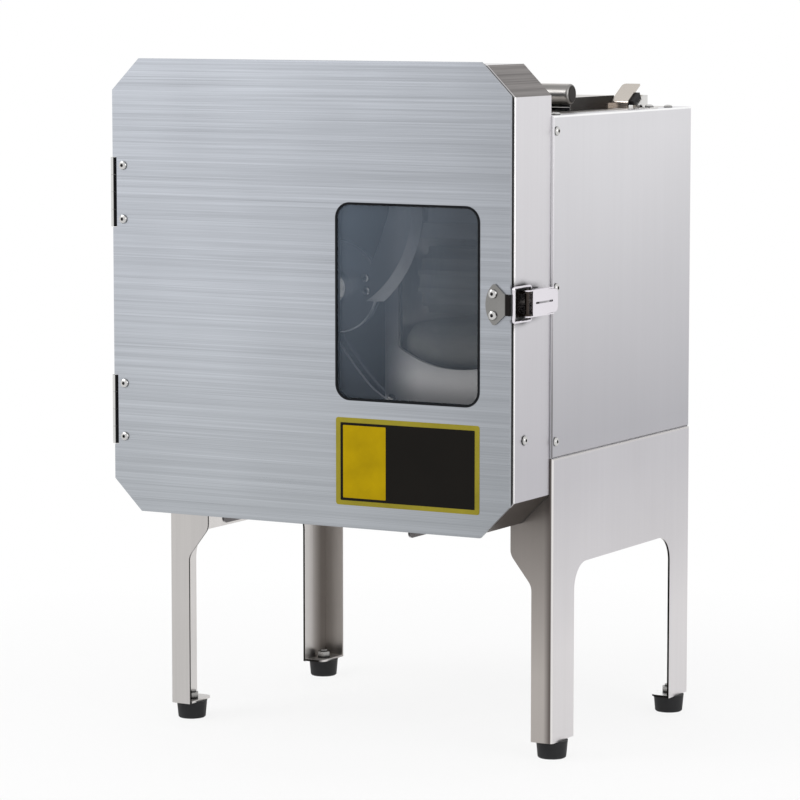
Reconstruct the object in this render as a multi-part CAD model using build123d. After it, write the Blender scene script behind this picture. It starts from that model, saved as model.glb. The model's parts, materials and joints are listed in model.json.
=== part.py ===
from build123d import *
from math import atan2, cos, degrees, hypot, pi, radians, sin, sqrt
import os

# Bench-top vegetable cutting machine. Millimetres, +Z up.
# While it is being drawn, X = 0 is the middle of the door, Y = 0 the door's front face and Z = 0 the
# floor; the last lines move everything so that the origin lies under the middle of the whole machine.

# Door
door_width = 426.0
door_top = 650.0
door_bottom = 218.6
door_sheet = 3.0
door_chamfer = 30.0
door_seal_inset = 2.0
door_seal_width = 12.0
window_left = 31.5
window_right = 182.5
window_bottom = 337.5
window_top = 520.5
window_corner = 15.0
window_trim = 2.2
window_lip = 5.0
pane_thickness = 4.0

# Knife chamber
chamber_left = -door_width / 2 + 3.9
chamber_right = door_width / 2
chamber_bottom = door_bottom + 4.0
chamber_top = door_top - 2.9
chamber_chamfer = 28.5
chamber_front = 9.3
chamber_back = 80.8
chamber_sheet = 2.0
chamber_rim = 14.0
chamber_edge_radius = 2.5
back_wall_front = 61.5
back_wall_thickness = 4.0
outlet_half_width = 100.0
outlet_front = 15.0
outlet_back = 58.0
outlet_lip = 12.0
outlet_lip_corner = 5.0

# Feed mouth in the back wall
mouth_middle = 128.0
mouth_half_width = 62.0
mouth_bottom = 364.4
mouth_arc_radius = 112.5
mouth_top = 486.0
mouth_corner = 12.0
shear_plate_side = 14.0
shear_plate_below = 42.0
shear_plate_thickness = 4.2
shear_plate_gap = 0.8

# Rear body and stand
panel_left = chamber_left + 6.7
panel_right = chamber_right + 2.4
panel_sheet = 1.5
panel_flange = 20.0
panel_bottom = 284.4
panel_top = 600.0
body_back = 381.8
bend_radius = 2.5
stand_left = panel_left - 1.0
stand_right = panel_right + 1.0
stand_sheet = 2.0
stand_bottom = 16.9
stand_bend_radius = 3.5
foot_plate_corner = 8.0
leg_side_width = 45.0
leg_front_width = 22.0
leg_shoulder_width = 44.0
leg_shoulder_low = 164.0
leg_shoulder_high = 192.0
leg_shoulder_radius = 14.0
arch_top = 180.5
arch_corner = 25.0
foot_from_side = 10.8
foot_from_edge = 21.7
foot_top_radius = 15.0
foot_bottom_radius = 13.4
foot_bolt_radius = 4.0

# Knife rotor
spindle_height = 437.0
knife_tip_radius = 196.0
knife_thickness = 4.0
knife_count = 3
hub_radius = 43.3
hub_thickness = 4.0
nose_radius = 16.0
nose_length = 13.0
spindle_radius = 12.5
spindle_tail_radius = 10.0
bearing_radius = 26.0
bearing_width = 15.0
housing_radius = 34.0
housing_flange_radius = 54.0
housing_flange_thickness = 8.0
housing_length = 84.0
housing_screw_circle = 44.0

# Knife drive
pulley_front = 160.0
pulley_width = 16.0
knife_pulley_radius = 50.0
motor_pulley_radius = 28.0
belt_depth = 8.0
belt_outer_width = 12.5
belt_inner_width = 7.5
motor_x = -125.0
motor_axis_height = 71.0
motor_front = 200.0
motor_length = 148.0
motor_body_radius = 50.0
motor_fin_radius = 58.0
motor_fin_count = 20
motor_shaft_radius = 9.0

# Feed conveyor
belt_top = 403.5
belt_thickness = 2.0
roller_radius = 18.0
roller_shaft_radius = 6.0
front_roller_y = 90.0
drive_roller_y = 340.0
conveyor_wall = 3.0
conveyor_side_gap = 4.0
bush_radius = 10.0
bush_flange_radius = 13.0
bed_thickness = 2.0
gearbox_size = 60.0
gearbox_length = 40.0
gear_motor_radius = 27.0
gear_motor_length = 68.0

# Press arm and press roller
press_pivot_y = 240.0
press_pivot_z = belt_top + 70.5
press_roller_y = 112.0
press_roller_radius = 32.0
press_roller_gap = 8.0
press_flutes = 12
press_flute_radius = 6.5
press_arm_sheet = 4.0
press_arm_inset = 4.0
press_arm_height = 26.0
press_shaft_radius = 6.0
press_tie_radius = 5.0
spring_wire = 2.4
spring_turns = 6
arm_stop_reach = 70.0
arm_stop_radius = 4.0

# Guard lid over the feed channel
lid_hinge_y = 190.0
lid_hinge_z = 616.5
lid_knuckle_radius = 9.75
lid_pin_radius = 5.0
lid_knuckle_right = 180.0
lid_knuckle_left = 76.0
lid_fixed_right = 130.0
lid_fixed_left = 102.0
lid_rear = 297.0
lid_right = 171.5
lid_left = 84.5
lid_top = 612.6
lid_sheet = 1.5
tab_left = lid_right + 0.3
tab_right = panel_right - 25.6
tab_front = 290.0
tab_knee_height = 607.5
tab_sheet = 2.0
tab_rise_angle = 31.0
tab_rise_length = 31.0
pad_thickness = 4.0
pad_length = 16.0
pad_right = panel_right - 21.4
stop_right = panel_right - 15.4
stop_left = panel_right - 30.4

# Door hinges
hinge_x = -door_width / 2 - 0.1
hinge_y = 4.0
hinge_length = 66.0
hinge_heights = (523.0, 315.0)
hinge_barrel_radius = 4.0
hinge_pin_radius = 2.0
hinge_knuckles = 4
hinge_leaf = 1.8
hinge_leaf_width = 22.0
hinge_screw_x = hinge_x + 11.7
hinge_screw_spacing = 51.0

# Toggle latch
latch_height = 432.5
latch_base_sheet = 1.5
latch_base_front = 12.0
latch_base_back = 55.0
latch_base_half = 11.8
latch_pivot_x = chamber_right + 6.0
latch_pivot_y = 22.0
latch_pivot_radius = 2.0
lever_half_front = 12.4
lever_half_back = 10.4
lever_sheet = 1.2
lever_back = 76.0
lever_outer_x = latch_pivot_x + 4.0
bail_pivot_x = latch_pivot_x - 1.5
bail_pivot_y = 32.0
bail_wire_radius = 1.25
bail_half = 15.6
bail_bar_x = chamber_right + 3.8
bail_bar_y = -0.4
keeper_left = door_width / 2 - 24.0
keeper_neck_x = door_width / 2 - 4.5
keeper_half = 19.6
keeper_neck_half = 9.6
keeper_sheet = 1.8
keeper_tip_x = door_width / 2 + 1.8
keeper_lip = 2.8
keeper_screw_x = door_width / 2 - 16.4
keeper_screw_half = 9.75
keeper_corner = 2.5

# Controls on the left side panel
control_y = 150.0
knob_z = 552.0
start_z = 520.0
stop_z = 485.0
control_plate_width = 62.0
control_plate_height = 130.0
knob_radius = 15.0
knob_length = 16.0
button_radius = 9.0
stop_radius = 15.0
button_stem = 5.0
button_travel = 3.0

# Screw in the side of the chamber
chamber_screw_y = 28.7
chamber_screw_z = 307.0

# Clearances
running = 0.05
loose = 0.3
screw_head = 4.3
screw_head_height = 2.4


# Drawing helpers
def rect(a_low, a_high, b_low, b_high):
    return Pos((a_low + a_high) / 2, (b_low + b_high) / 2) * Rectangle(a_high - a_low, b_high - b_low)


def round_rect(a_low, a_high, b_low, b_high, radius):
    middle = Pos((a_low + a_high) / 2, (b_low + b_high) / 2)
    return middle * RectangleRounded(a_high - a_low, b_high - b_low, radius)


def disc(a, b, radius):
    return Pos(a, b) * Circle(radius)


def ring(a, b, outer, inner):
    return disc(a, b, outer) - disc(a, b, inner)


def outline(*points):
    return make_face(Polyline(*points, close=True))


def front_prism(shape, y_low, y_high):
    """A shape drawn in X and Z, made solid from one depth to another."""
    plane = Plane(origin=(0, y_high, 0), x_dir=(1, 0, 0), z_dir=(0, -1, 0))
    return extrude(plane * shape, y_high - y_low)


def side_prism(shape, x_low, x_high):
    """A shape drawn in Y and Z, made solid from one X to another."""
    plane = Plane(origin=(x_low, 0, 0), x_dir=(0, 1, 0), z_dir=(1, 0, 0))
    return extrude(plane * shape, x_high - x_low)


def plan_prism(shape, z_low, z_high):
    """A shape drawn in X and Y, made solid from one height to another."""
    return extrude(Plane.XY.offset(z_low) * shape, z_high - z_low)


def block(x_low, x_high, y_low, y_high, z_low, z_high):
    return plan_prism(rect(x_low, x_high, y_low, y_high), z_low, z_high)


def octagon(x_low, x_high, z_low, z_high, chamfer):
    """A rectangle with its four corners cut off, in X and Z."""
    return outline(
        (x_low + chamfer, z_low),
        (x_high - chamfer, z_low),
        (x_high, z_low + chamfer),
        (x_high, z_high - chamfer),
        (x_high - chamfer, z_high),
        (x_low + chamfer, z_high),
        (x_low, z_high - chamfer),
        (x_low, z_low + chamfer),
    )


def inset_octagon(x_low, x_high, z_low, z_high, chamfer, inset):
    """The same shape with every side moved inwards by one amount."""
    smaller = chamfer - inset * (2 - sqrt(2))
    return octagon(x_low + inset, x_high - inset, z_low + inset, z_high - inset, smaller)


def aimed(solid, at, towards):
    """Moves a solid drawn along +Z from the origin to a place and a direction."""
    return Plane(origin=at, z_dir=towards) * solid


def button_screw():
    """A low domed screw head with a hexagon socket, its seat at the origin."""
    dome = outline(
        (0, 0),
        (screw_head, 0),
        (screw_head, 0.3 * screw_head_height),
        (0.88 * screw_head, 0.7 * screw_head_height),
        (0.6 * screw_head, screw_head_height),
        (0, screw_head_height),
    )
    head = revolve(Plane.XZ * dome, Axis.Z)
    socket = extrude(Plane.XY.offset(screw_head_height / 2) * RegularPolygon(1.7, 6), screw_head_height)
    return head - socket


def screws(places, towards):
    head = button_screw()
    return [aimed(head, place, towards) for place in places]


def group(solids):
    return Compound(list(solids))


parts = {}


# Knife chamber: a folded octagonal ring, its back wall, the shear plate and the outlet
def chamber_shape(inset=0.0):
    return inset_octagon(
        chamber_left, chamber_right, chamber_bottom, chamber_top, chamber_chamfer, inset
    )


back_wall_back = back_wall_front + back_wall_thickness


def chamber_shell():
    body = front_prism(chamber_shape(), chamber_front, chamber_back)
    rim_edges = body.faces().sort_by(Axis.Y)[0].edges()
    body = fillet(rim_edges, chamber_edge_radius)
    inside_front = chamber_front + chamber_sheet
    inside_back = chamber_back - chamber_sheet
    body -= front_prism(chamber_shape(chamber_sheet), inside_front, inside_back)
    body -= front_prism(chamber_shape(chamber_rim), chamber_front - 1, chamber_back + 1)
    outlet = rect(-outlet_half_width, outlet_half_width, outlet_front, outlet_back)
    body -= plan_prism(outlet, chamber_bottom - 1, chamber_bottom + chamber_sheet + 1)
    lip_low = chamber_bottom - outlet_lip
    lip = round_rect(
        outlet_front, outlet_back, lip_low, chamber_bottom + 2 * outlet_lip_corner, outlet_lip_corner
    )
    lip = lip & rect(outlet_front, outlet_back, lip_low - 1, chamber_bottom + chamber_sheet)
    for x_low in (-outlet_half_width - chamber_sheet, outlet_half_width):
        body += side_prism(lip, x_low, x_low + chamber_sheet)
    return body


def mouth_shape(grow=0.0):
    half = mouth_half_width + grow
    radius = mouth_arc_radius + grow
    centre = mouth_bottom + mouth_arc_radius
    side_foot = centre - sqrt(radius**2 - half**2)
    left_foot = (mouth_middle - half, side_foot)
    right_foot = (mouth_middle + half, side_foot)
    bottom = ThreePointArc(left_foot, (mouth_middle, centre - radius), right_foot)
    top = mouth_top + grow
    rest = Polyline(right_foot, (mouth_middle + half, top), (mouth_middle - half, top), left_foot)
    face = make_face(bottom.edges() + rest.edges())
    return fillet(face.vertices().group_by(Axis.Y)[-1], mouth_corner)


def back_wall():
    wall = front_prism(chamber_shape(chamber_sheet), back_wall_front, back_wall_back)
    wall -= front_prism(mouth_shape(), back_wall_front - 1, back_wall_back + 1)
    spindle_hole = disc(0, spindle_height, spindle_radius + 6)
    wall -= front_prism(spindle_hole, back_wall_front - 1, back_wall_back + 1)
    return wall


shear_plate_front = back_wall_front - shear_plate_thickness
knife_back = shear_plate_front - shear_plate_gap
knife_front = knife_back - knife_thickness


def shear_plate():
    side = mouth_half_width + shear_plate_side
    plate = round_rect(
        mouth_middle - side,
        mouth_middle + side,
        mouth_bottom - shear_plate_below,
        mouth_top + shear_plate_side,
        mouth_corner,
    )
    plate = front_prism(plate - mouth_shape(), shear_plate_front, back_wall_front)
    for x in (mouth_middle - side + 7, mouth_middle + side - 7):
        for z in (mouth_bottom - shear_plate_below + 12, mouth_top + 2):
            sink = Cone(2.1, 4.2, 2.1, align=(Align.CENTER, Align.CENTER, Align.MAX))
            plate -= aimed(sink, (x, shear_plate_front, z), (0, -1, 0))
    return plate


def shear_screws():
    side = mouth_half_width + shear_plate_side
    heads = []
    for x in (mouth_middle - side + 7, mouth_middle + side - 7):
        for z in (mouth_bottom - shear_plate_below + 12, mouth_top + 2):
            cone = Cone(2.1, 4.2, 2.1, align=(Align.CENTER, Align.CENTER, Align.MAX))
            cone -= Pos(0, 0, -1) * extrude(RegularPolygon(1.3, 6), 2)
            heads.append(aimed(cone, (x, shear_plate_front, z), (0, -1, 0)))
    return group(heads)


parts["chamber_shell"] = chamber_shell()
parts["chamber_back_wall"] = back_wall()
parts["shear_plate"] = shear_plate()
parts["shear_plate_screws"] = shear_screws()


# Door with its window, seals and hinge notches
def window_shape(grow=0.0):
    return round_rect(
        window_left - grow,
        window_right + grow,
        window_bottom - grow,
        window_top + grow,
        window_corner + grow,
    )


def door_shape(inset=0.0):
    half = door_width / 2
    return inset_octagon(-half, half, door_bottom, door_top, door_chamfer, inset)


def door_plate():
    plate = front_prism(door_shape(), 0, door_sheet)
    plate -= front_prism(window_shape(), -1, door_sheet + 1)
    for height in hinge_heights:
        half = hinge_length / 2 + 0.5
        notch_right = hinge_x + hinge_barrel_radius + 0.5
        plate -= block(-door_width, notch_right, -1, door_sheet + 1, height - half, height + half)
    return plate


def window_seal():
    lining = window_shape() - window_shape(-window_trim)
    flange = window_shape(window_lip) - window_shape(-window_trim)
    return front_prism(lining, -0.4, door_sheet) + front_prism(flange, door_sheet, door_sheet + 2.0)


def door_seal():
    seal = door_shape(door_seal_inset) - door_shape(door_seal_inset + door_seal_width)
    seal = front_prism(seal, door_sheet, chamber_front - loose)
    for height in hinge_heights:
        half = hinge_length / 2 + 1
        leaf_edge = hinge_x + hinge_leaf_width + 1
        seal -= block(-door_width, leaf_edge, 0, door_sheet + hinge_leaf + 0.2, height - half, height + half)
        seal -= block(-door_width, chamber_left + 0.5, 0, chamber_front, height - half, height + half)
    return seal


parts["door_plate"] = door_plate()
parts["window_pane"] = front_prism(window_shape(-window_trim), 0.4, 0.4 + pane_thickness)
parts["window_seal"] = window_seal()
parts["door_seal"] = door_seal()


# Door hinges: four knuckles on a pin, a leaf behind the door and a leaf on the chamber's side
def knuckle_span(height, index):
    pitch = hinge_length / hinge_knuckles
    low = height - hinge_length / 2 + index * pitch
    return low + 0.1, low + pitch - 0.1


def door_leaf(height):
    low = height - hinge_length / 2 + 0.1
    high = height + hinge_length / 2 - 0.1
    leaf_left = hinge_x + hinge_barrel_radius + 0.2
    leaf = block(leaf_left, hinge_x + hinge_leaf_width, door_sheet, door_sheet + hinge_leaf, low, high)
    for index in range(1, hinge_knuckles, 2):
        z_low, z_high = knuckle_span(height, index)
        leaf += plan_prism(disc(hinge_x, hinge_y, hinge_barrel_radius), z_low, z_high)
        leaf += block(hinge_x, leaf_left + 1, door_sheet, door_sheet + hinge_leaf, z_low, z_high)
    return leaf - plan_prism(disc(hinge_x, hinge_y, hinge_pin_radius + running), low - 5, high + 5)


def chamber_leaf(height):
    low = height - hinge_length / 2 + 0.1
    high = height + hinge_length / 2 - 0.1
    leaf_right = chamber_left
    leaf_left = leaf_right - hinge_leaf
    leaf_front = hinge_y + hinge_barrel_radius + 0.8
    leaf = block(leaf_left, leaf_right, leaf_front, leaf_front + hinge_leaf_width + 6, low, high)
    for index in range(0, hinge_knuckles, 2):
        z_low, z_high = knuckle_span(height, index)
        leaf += plan_prism(disc(hinge_x, hinge_y, hinge_barrel_radius), z_low, z_high)
        leaf += block(leaf_left, leaf_right, hinge_y, leaf_front + 1, z_low, z_high)
    return leaf - plan_prism(disc(hinge_x, hinge_y, hinge_pin_radius), low - 5, high + 5)


def hinge_pin(height):
    pin = Pos(hinge_x, hinge_y, height) * Cylinder(hinge_pin_radius, hinge_length)
    return chamfer(pin.edges().filter_by(GeomType.CIRCLE), 0.8)


parts["door_hinge_leaves"] = group(door_leaf(height) for height in hinge_heights)
parts["chamber_hinge_leaves"] = group(chamber_leaf(height) for height in hinge_heights)
parts["door_hinge_pins"] = group(hinge_pin(height) for height in hinge_heights)

hinge_screw_places = [
    (hinge_screw_x, 0, height + side * hinge_screw_spacing / 2)
    for height in hinge_heights
    for side in (-1, 1)
]
keeper_screw_places = [
    (keeper_screw_x, -keeper_sheet, latch_height + side * keeper_screw_half) for side in (-1, 1)
]
parts["door_screws"] = group(screws(hinge_screw_places + keeper_screw_places, (0, -1, 0)))
chamber_leaf_screw_places = [
    (chamber_left - hinge_leaf, 27, height + side * hinge_screw_spacing / 2)
    for height in hinge_heights
    for side in (-1, 1)
]
chamber_screws = screws(chamber_leaf_screw_places, (-1, 0, 0)) + screws(
    [(chamber_right, chamber_screw_y, chamber_screw_z)], (1, 0, 0)
)


# Toggle latch: keeper on the door, base on the chamber, lever and wire bail
def keeper():
    top = latch_height + keeper_half
    low = latch_height - keeper_half
    left_middle = (keeper_left, latch_height)
    left_arc = ThreePointArc((keeper_screw_x + 1, low), left_middle, (keeper_screw_x + 1, top))
    rest = Polyline(
        (keeper_screw_x + 1, top),
        (keeper_neck_x, latch_height + keeper_neck_half),
        (keeper_tip_x, latch_height + keeper_neck_half),
        (keeper_tip_x, latch_height - keeper_neck_half),
        (keeper_neck_x, latch_height - keeper_neck_half),
        (keeper_screw_x + 1, low),
    )
    face = make_face(left_arc.edges() + rest.edges())
    ends = face.vertices().filter_by(lambda corner: abs(corner.X - keeper_screw_x - 1) < 0.01)
    face = fillet(ends, keeper_corner)
    necks = face.vertices().filter_by(lambda corner: abs(corner.X - keeper_neck_x) < 0.01)
    face = fillet(necks, keeper_corner)
    plate = front_prism(face, -keeper_sheet, 0)
    lip = block(
        keeper_tip_x - keeper_sheet,
        keeper_tip_x,
        -keeper_sheet - keeper_lip,
        -keeper_sheet / 2,
        latch_height - keeper_neck_half,
        latch_height + keeper_neck_half,
    )
    plate += lip
    return fillet(lip_edges(plate), 0.7)


def lip_edges(plate):
    """The two long edges where the keeper's neck turns into its lip, and the lip's free corner."""
    upright = plate.edges().filter_by(Axis.Z)
    return upright.filter_by(lambda edge: edge.center().X > keeper_tip_x - 0.1)


def latch_base():
    plate_right = chamber_right + latch_base_sheet
    plate = round_rect(
        latch_base_front,
        latch_base_back,
        latch_height - latch_base_half,
        latch_height + latch_base_half,
        3,
    )
    base = side_prism(plate, chamber_right, plate_right)
    ear = rect(chamber_right, latch_pivot_x, latch_pivot_y - 4.2, latch_pivot_y + 4.2)
    ear = ear + disc(latch_pivot_x, latch_pivot_y, 4.2)
    ear_outer = lever_half_front - lever_sheet - loose
    for side in (-1, 1):
        inner = latch_height + side * (ear_outer - latch_base_sheet)
        outer = latch_height + side * ear_outer
        base += plan_prism(ear, min(inner, outer), max(inner, outer))
    half = lever_half_front + 1.0
    pin = disc(latch_pivot_x, latch_pivot_y, latch_pivot_radius)
    return base + plan_prism(pin, latch_height - half, latch_height + half)


def lever_half(y):
    share = (y - latch_pivot_y) / (lever_back - latch_pivot_y)
    return lever_half_front + (lever_half_back - lever_half_front) * share


def latch_lever():
    web_front = latch_pivot_y + 4
    side_face = outline(
        (web_front, latch_height - lever_half(web_front)),
        (lever_back, latch_height - lever_half_back),
        (lever_back, latch_height + lever_half_back),
        (web_front, latch_height + lever_half(web_front)),
    )
    side_face = fillet(side_face.vertices().group_by(Axis.X)[-1], 5)
    lever = side_prism(side_face, lever_outer_x - lever_sheet, lever_outer_x)
    slot = round_rect(web_front + 6, lever_back - 10, latch_height - 0.9, latch_height + 0.9, 0.85)
    lever -= side_prism(slot, lever_outer_x - 3, lever_outer_x + 1)
    cheek = outline(
        (latch_pivot_x - 3, latch_pivot_y),
        (latch_pivot_x - 3, latch_pivot_y + 18),
        (lever_outer_x - 2.6, lever_back - 8),
        (lever_outer_x, lever_back - 8),
        (lever_outer_x, latch_pivot_y),
    )
    cheek = cheek + disc(latch_pivot_x, latch_pivot_y, 4)
    cheek -= disc(latch_pivot_x, latch_pivot_y, latch_pivot_radius + running)
    cheek -= disc(bail_pivot_x, bail_pivot_y, bail_wire_radius + running)
    for side in (-1, 1):
        inner = latch_height + side * (lever_half_front - lever_sheet)
        outer = latch_height + side * lever_half_front
        lever += plan_prism(cheek, min(inner, outer), max(inner, outer))
    return lever


def latch_bail():
    foot = lever_half_front - lever_sheet - 0.6
    route = [
        (bail_pivot_x, bail_pivot_y, latch_height - foot),
        (bail_pivot_x, bail_pivot_y, latch_height - bail_half),
        (bail_bar_x, bail_bar_y, latch_height - bail_half),
        (bail_bar_x, bail_bar_y, latch_height + bail_half),
        (bail_pivot_x, bail_pivot_y, latch_height + bail_half),
        (bail_pivot_x, bail_pivot_y, latch_height + foot),
    ]
    path = FilletPolyline(*route, radius=2.0)
    section = Plane(origin=route[0], z_dir=(0, 0, -1)) * Circle(bail_wire_radius)
    return sweep(section, path=path)


parts["latch_keeper"] = keeper()
parts["latch_base"] = latch_base()
parts["latch_lever"] = latch_lever()
parts["latch_bail"] = latch_bail()


# Side panels: folded pans with flanges all round
def side_panel(outer, inward):
    inner = outer + inward * panel_flange
    x_low = min(outer, inner)
    x_high = max(outer, inner)
    pan = block(x_low, x_high, chamber_back, body_back, panel_bottom, panel_top)
    edges = pan.faces().sort_by(Axis.X)[0 if inward > 0 else -1].edges()
    pan = fillet(edges, bend_radius)
    skin = outer + inward * panel_sheet
    far = outer + inward * (panel_flange + 1)
    pan -= block(
        min(skin, far),
        max(skin, far),
        chamber_back + panel_sheet,
        body_back - panel_sheet,
        panel_bottom + panel_sheet,
        panel_top - panel_sheet,
    )
    return pan


parts["side_panel_right"] = side_panel(panel_right, -1)
parts["side_panel_left"] = side_panel(panel_left, 1)

panel_screw_heights = (panel_bottom + 15.4, (panel_bottom + panel_top) / 2, panel_top - 14.0)
panel_screw_y = chamber_back + 6.5
top_screw_ys = (chamber_back + 23, body_back - 35)
panel_screws = (
    screws([(panel_right, panel_screw_y, z) for z in panel_screw_heights], (1, 0, 0))
    + screws([(panel_left, panel_screw_y, z) for z in panel_screw_heights], (-1, 0, 0))
    + screws([(panel_right - 9.4, y, panel_top) for y in top_screw_ys], (0, 0, 1))
    + screws([(panel_left + 9.4, y, panel_top + panel_sheet) for y in top_screw_ys], (0, 0, 1))
)


# Stand: two bent-sheet side frames on four rubber feet
def leg_flange_shape(outer, inward):
    """One front or rear flange of a side frame, wide at its shoulder and narrow at the foot."""
    narrow = outer + inward * leg_front_width
    wide = outer + inward * leg_shoulder_width
    face = outline(
        (outer, stand_bottom),
        (narrow, stand_bottom),
        (narrow, leg_shoulder_low),
        (wide, leg_shoulder_high),
        (wide, panel_bottom),
        (outer, panel_bottom),
    )
    bends = face.vertices().filter_by(
        lambda corner: leg_shoulder_low - 1 < corner.Y < leg_shoulder_high + 1
    )
    return fillet(bends, leg_shoulder_radius)


def stand_frame(outer, inward):
    inner = outer + inward * leg_shoulder_width
    x_low = min(outer, inner)
    x_high = max(outer, inner)
    frame = block(x_low, x_high, chamber_back, body_back, stand_bottom, panel_bottom)
    outer_face = frame.faces().sort_by(Axis.X)[0 if inward > 0 else -1]
    bends = outer_face.edges().filter_by(lambda edge: edge.center().Z > stand_bottom + 1)
    frame = fillet(bends, stand_bend_radius)
    skin = outer + inward * stand_sheet
    far = outer + inward * (leg_shoulder_width + 1)
    frame -= block(
        min(skin, far),
        max(skin, far),
        chamber_back + stand_sheet,
        body_back - stand_sheet,
        stand_bottom - 1,
        panel_bottom - stand_sheet,
    )
    flange = front_prism(leg_flange_shape(outer, inward), chamber_back - 1, body_back + 1)
    frame = frame & flange
    arch = round_rect(
        chamber_back + leg_side_width,
        body_back - leg_side_width,
        stand_bottom - 2 * arch_corner,
        arch_top,
        arch_corner,
    )
    frame -= side_prism(arch, outer - 5, outer + 5)
    leg_spans = (
        (chamber_back, chamber_back + leg_side_width),
        (body_back - leg_side_width, body_back),
    )
    for front, back in leg_spans:
        edge = outer + inward * leg_front_width
        plate = rect(min(skin, edge), max(skin, edge), front + stand_sheet, back - stand_sheet)
        free_corner = plate.vertices().filter_by(lambda corner: abs(corner.X - edge) < 0.01)
        free_corner = free_corner.sort_by(Axis.Y)[-1 if front == chamber_back else 0]
        plate = fillet(free_corner, foot_plate_corner)
        foot_x = outer + inward * foot_from_side
        foot_y = front + foot_from_edge if front == chamber_back else back - foot_from_edge
        plate -= disc(foot_x, foot_y, foot_bolt_radius + running)
        frame += plan_prism(plate, stand_bottom, stand_bottom + stand_sheet)
    return frame


foot_places = [
    (x, y)
    for x in (stand_left + foot_from_side, stand_right - foot_from_side)
    for y in (chamber_back + foot_from_edge, body_back - foot_from_edge)
]


def rubber_foot():
    standing = (Align.CENTER, Align.CENTER, Align.MIN)
    body = Cone(foot_bottom_radius, foot_top_radius, stand_bottom, align=standing)
    return chamfer(body.edges().group_by(Axis.Z)[0], 1.0)


def foot_bolt():
    shank = Pos(0, 0, stand_bottom) * Cylinder(
        foot_bolt_radius, stand_sheet + 8, align=(Align.CENTER, Align.CENTER, Align.MIN)
    )
    nut = Pos(0, 0, stand_bottom + stand_sheet) * extrude(RegularPolygon(7.0, 6), 6)
    return shank + nut


parts["stand_frame_right"] = stand_frame(stand_right, -1)
parts["stand_frame_left"] = stand_frame(stand_left, 1)
parts["rubber_feet"] = group(Pos(x, y, 0) * rubber_foot() for x, y in foot_places)
parts["foot_bolts"] = group(Pos(x, y, 0) * foot_bolt() for x, y in foot_places)


# Floor, rear panel and covers of the rear body
inside_left = panel_left + panel_sheet
inside_right = panel_right - panel_sheet
floor_low = panel_bottom + panel_sheet
floor_top = floor_low + 2.0
channel_left = mouth_middle - mouth_half_width - 2
channel_right = mouth_middle + mouth_half_width + 2


def floor_plate():
    return block(
        inside_left, inside_right, chamber_back + panel_sheet, body_back - panel_sheet, floor_low, floor_top
    )


infeed_low = belt_top - belt_thickness - 4
infeed_high = infeed_low + 120
vent_count = 9


def rear_panel():
    low = floor_top
    high = panel_top - panel_sheet
    back = body_back - panel_sheet
    panel = block(inside_left, inside_right, back - panel_sheet, back, low, high)
    infeed = round_rect(channel_left, channel_right, infeed_low, infeed_high, 6)
    panel -= front_prism(infeed, back - 5, back + 5)
    for index in range(vent_count):
        z = low + 30 + index * 14
        vent = round_rect(motor_x - 45, motor_x + 45, z - 3, z + 3, 2.9)
        panel -= front_prism(vent, back - 5, back + 5)
    panel -= front_prism(rect(*inlet_span), back - 5, back + 5)
    return panel


inlet_x = -125.0
inlet_z = 500.0
inlet_span = (inlet_x - 14, inlet_x + 14, inlet_z - 24, inlet_z + 24)


def power_inlet():
    """A three-pin appliance inlet with its flange outside the rear panel."""
    back = body_back - panel_sheet
    body = front_prism(rect(*inlet_span), back - 28, back)
    flange = round_rect(inlet_x - 19, inlet_x + 19, inlet_z - 29, inlet_z + 29, 4)
    body += front_prism(flange, back, back + 3)
    well = round_rect(inlet_x - 10.5, inlet_x + 10.5, inlet_z - 13, inlet_z + 13, 3)
    body -= front_prism(well, back - 15, back + 4)
    for x, z in ((0, 5), (-5, -4), (5, -4)):
        pin = rect(inlet_x + x - 1, inlet_x + x + 1, inlet_z + z - 2.5, inlet_z + z + 2.5)
        body += front_prism(pin, back - 15, back - 1)
    return body


def drive_bay_cover():
    """A lid sheet over the left flange and the channel cover's edge, with a tongue up to the chamber."""
    cover_right = channel_left - conveyor_wall + 1.5
    front = chamber_back + 2
    low = panel_top
    high = panel_top + panel_sheet
    cover = block(panel_left + 2, cover_right, front, body_back - 2, low, high)
    tongue_left = panel_left + panel_flange + 2
    return cover + block(tongue_left, cover_right, back_wall_back + 0.5, front + 1, low, high)


cover_hole_inset = 4.0


def channel_cover():
    """The channel's top sheet with its loading hole and the lid hinge's fixed knuckle on a bent foot."""
    low = panel_top - panel_sheet
    left = channel_left - conveyor_wall
    right = panel_right - panel_flange - 0.4
    cover = block(left, right, back_wall_back + 0.5, body_back - 2 * panel_sheet, low, panel_top)
    hole = round_rect(
        lid_left + cover_hole_inset, lid_right - cover_hole_inset, lid_hinge_y + 20, lid_rear - 5, 6
    )
    cover -= plan_prism(hole, low - 1, panel_top + 1)
    arm = outline(
        (lid_hinge_y - 40, panel_top),
        (lid_hinge_y - 12, panel_top),
        (lid_hinge_y, lid_hinge_z - lid_knuckle_radius),
        (lid_hinge_y, lid_hinge_z - lid_knuckle_radius + 3),
        (lid_hinge_y - lid_knuckle_radius, lid_hinge_z),
        (lid_hinge_y - 16, panel_top + 2.5),
        (lid_hinge_y - 40, panel_top + 2.5),
    )
    profile = arm + disc(lid_hinge_y, lid_hinge_z, lid_knuckle_radius)
    profile -= disc(lid_hinge_y, lid_hinge_z, lid_pin_radius)
    return cover + side_prism(profile, lid_fixed_left + loose, lid_fixed_right - loose)


parts["floor_plate"] = floor_plate()
parts["rear_panel"] = rear_panel()
parts["power_inlet"] = power_inlet()
parts["drive_bay_cover"] = drive_bay_cover()
parts["channel_cover"] = channel_cover()


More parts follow.
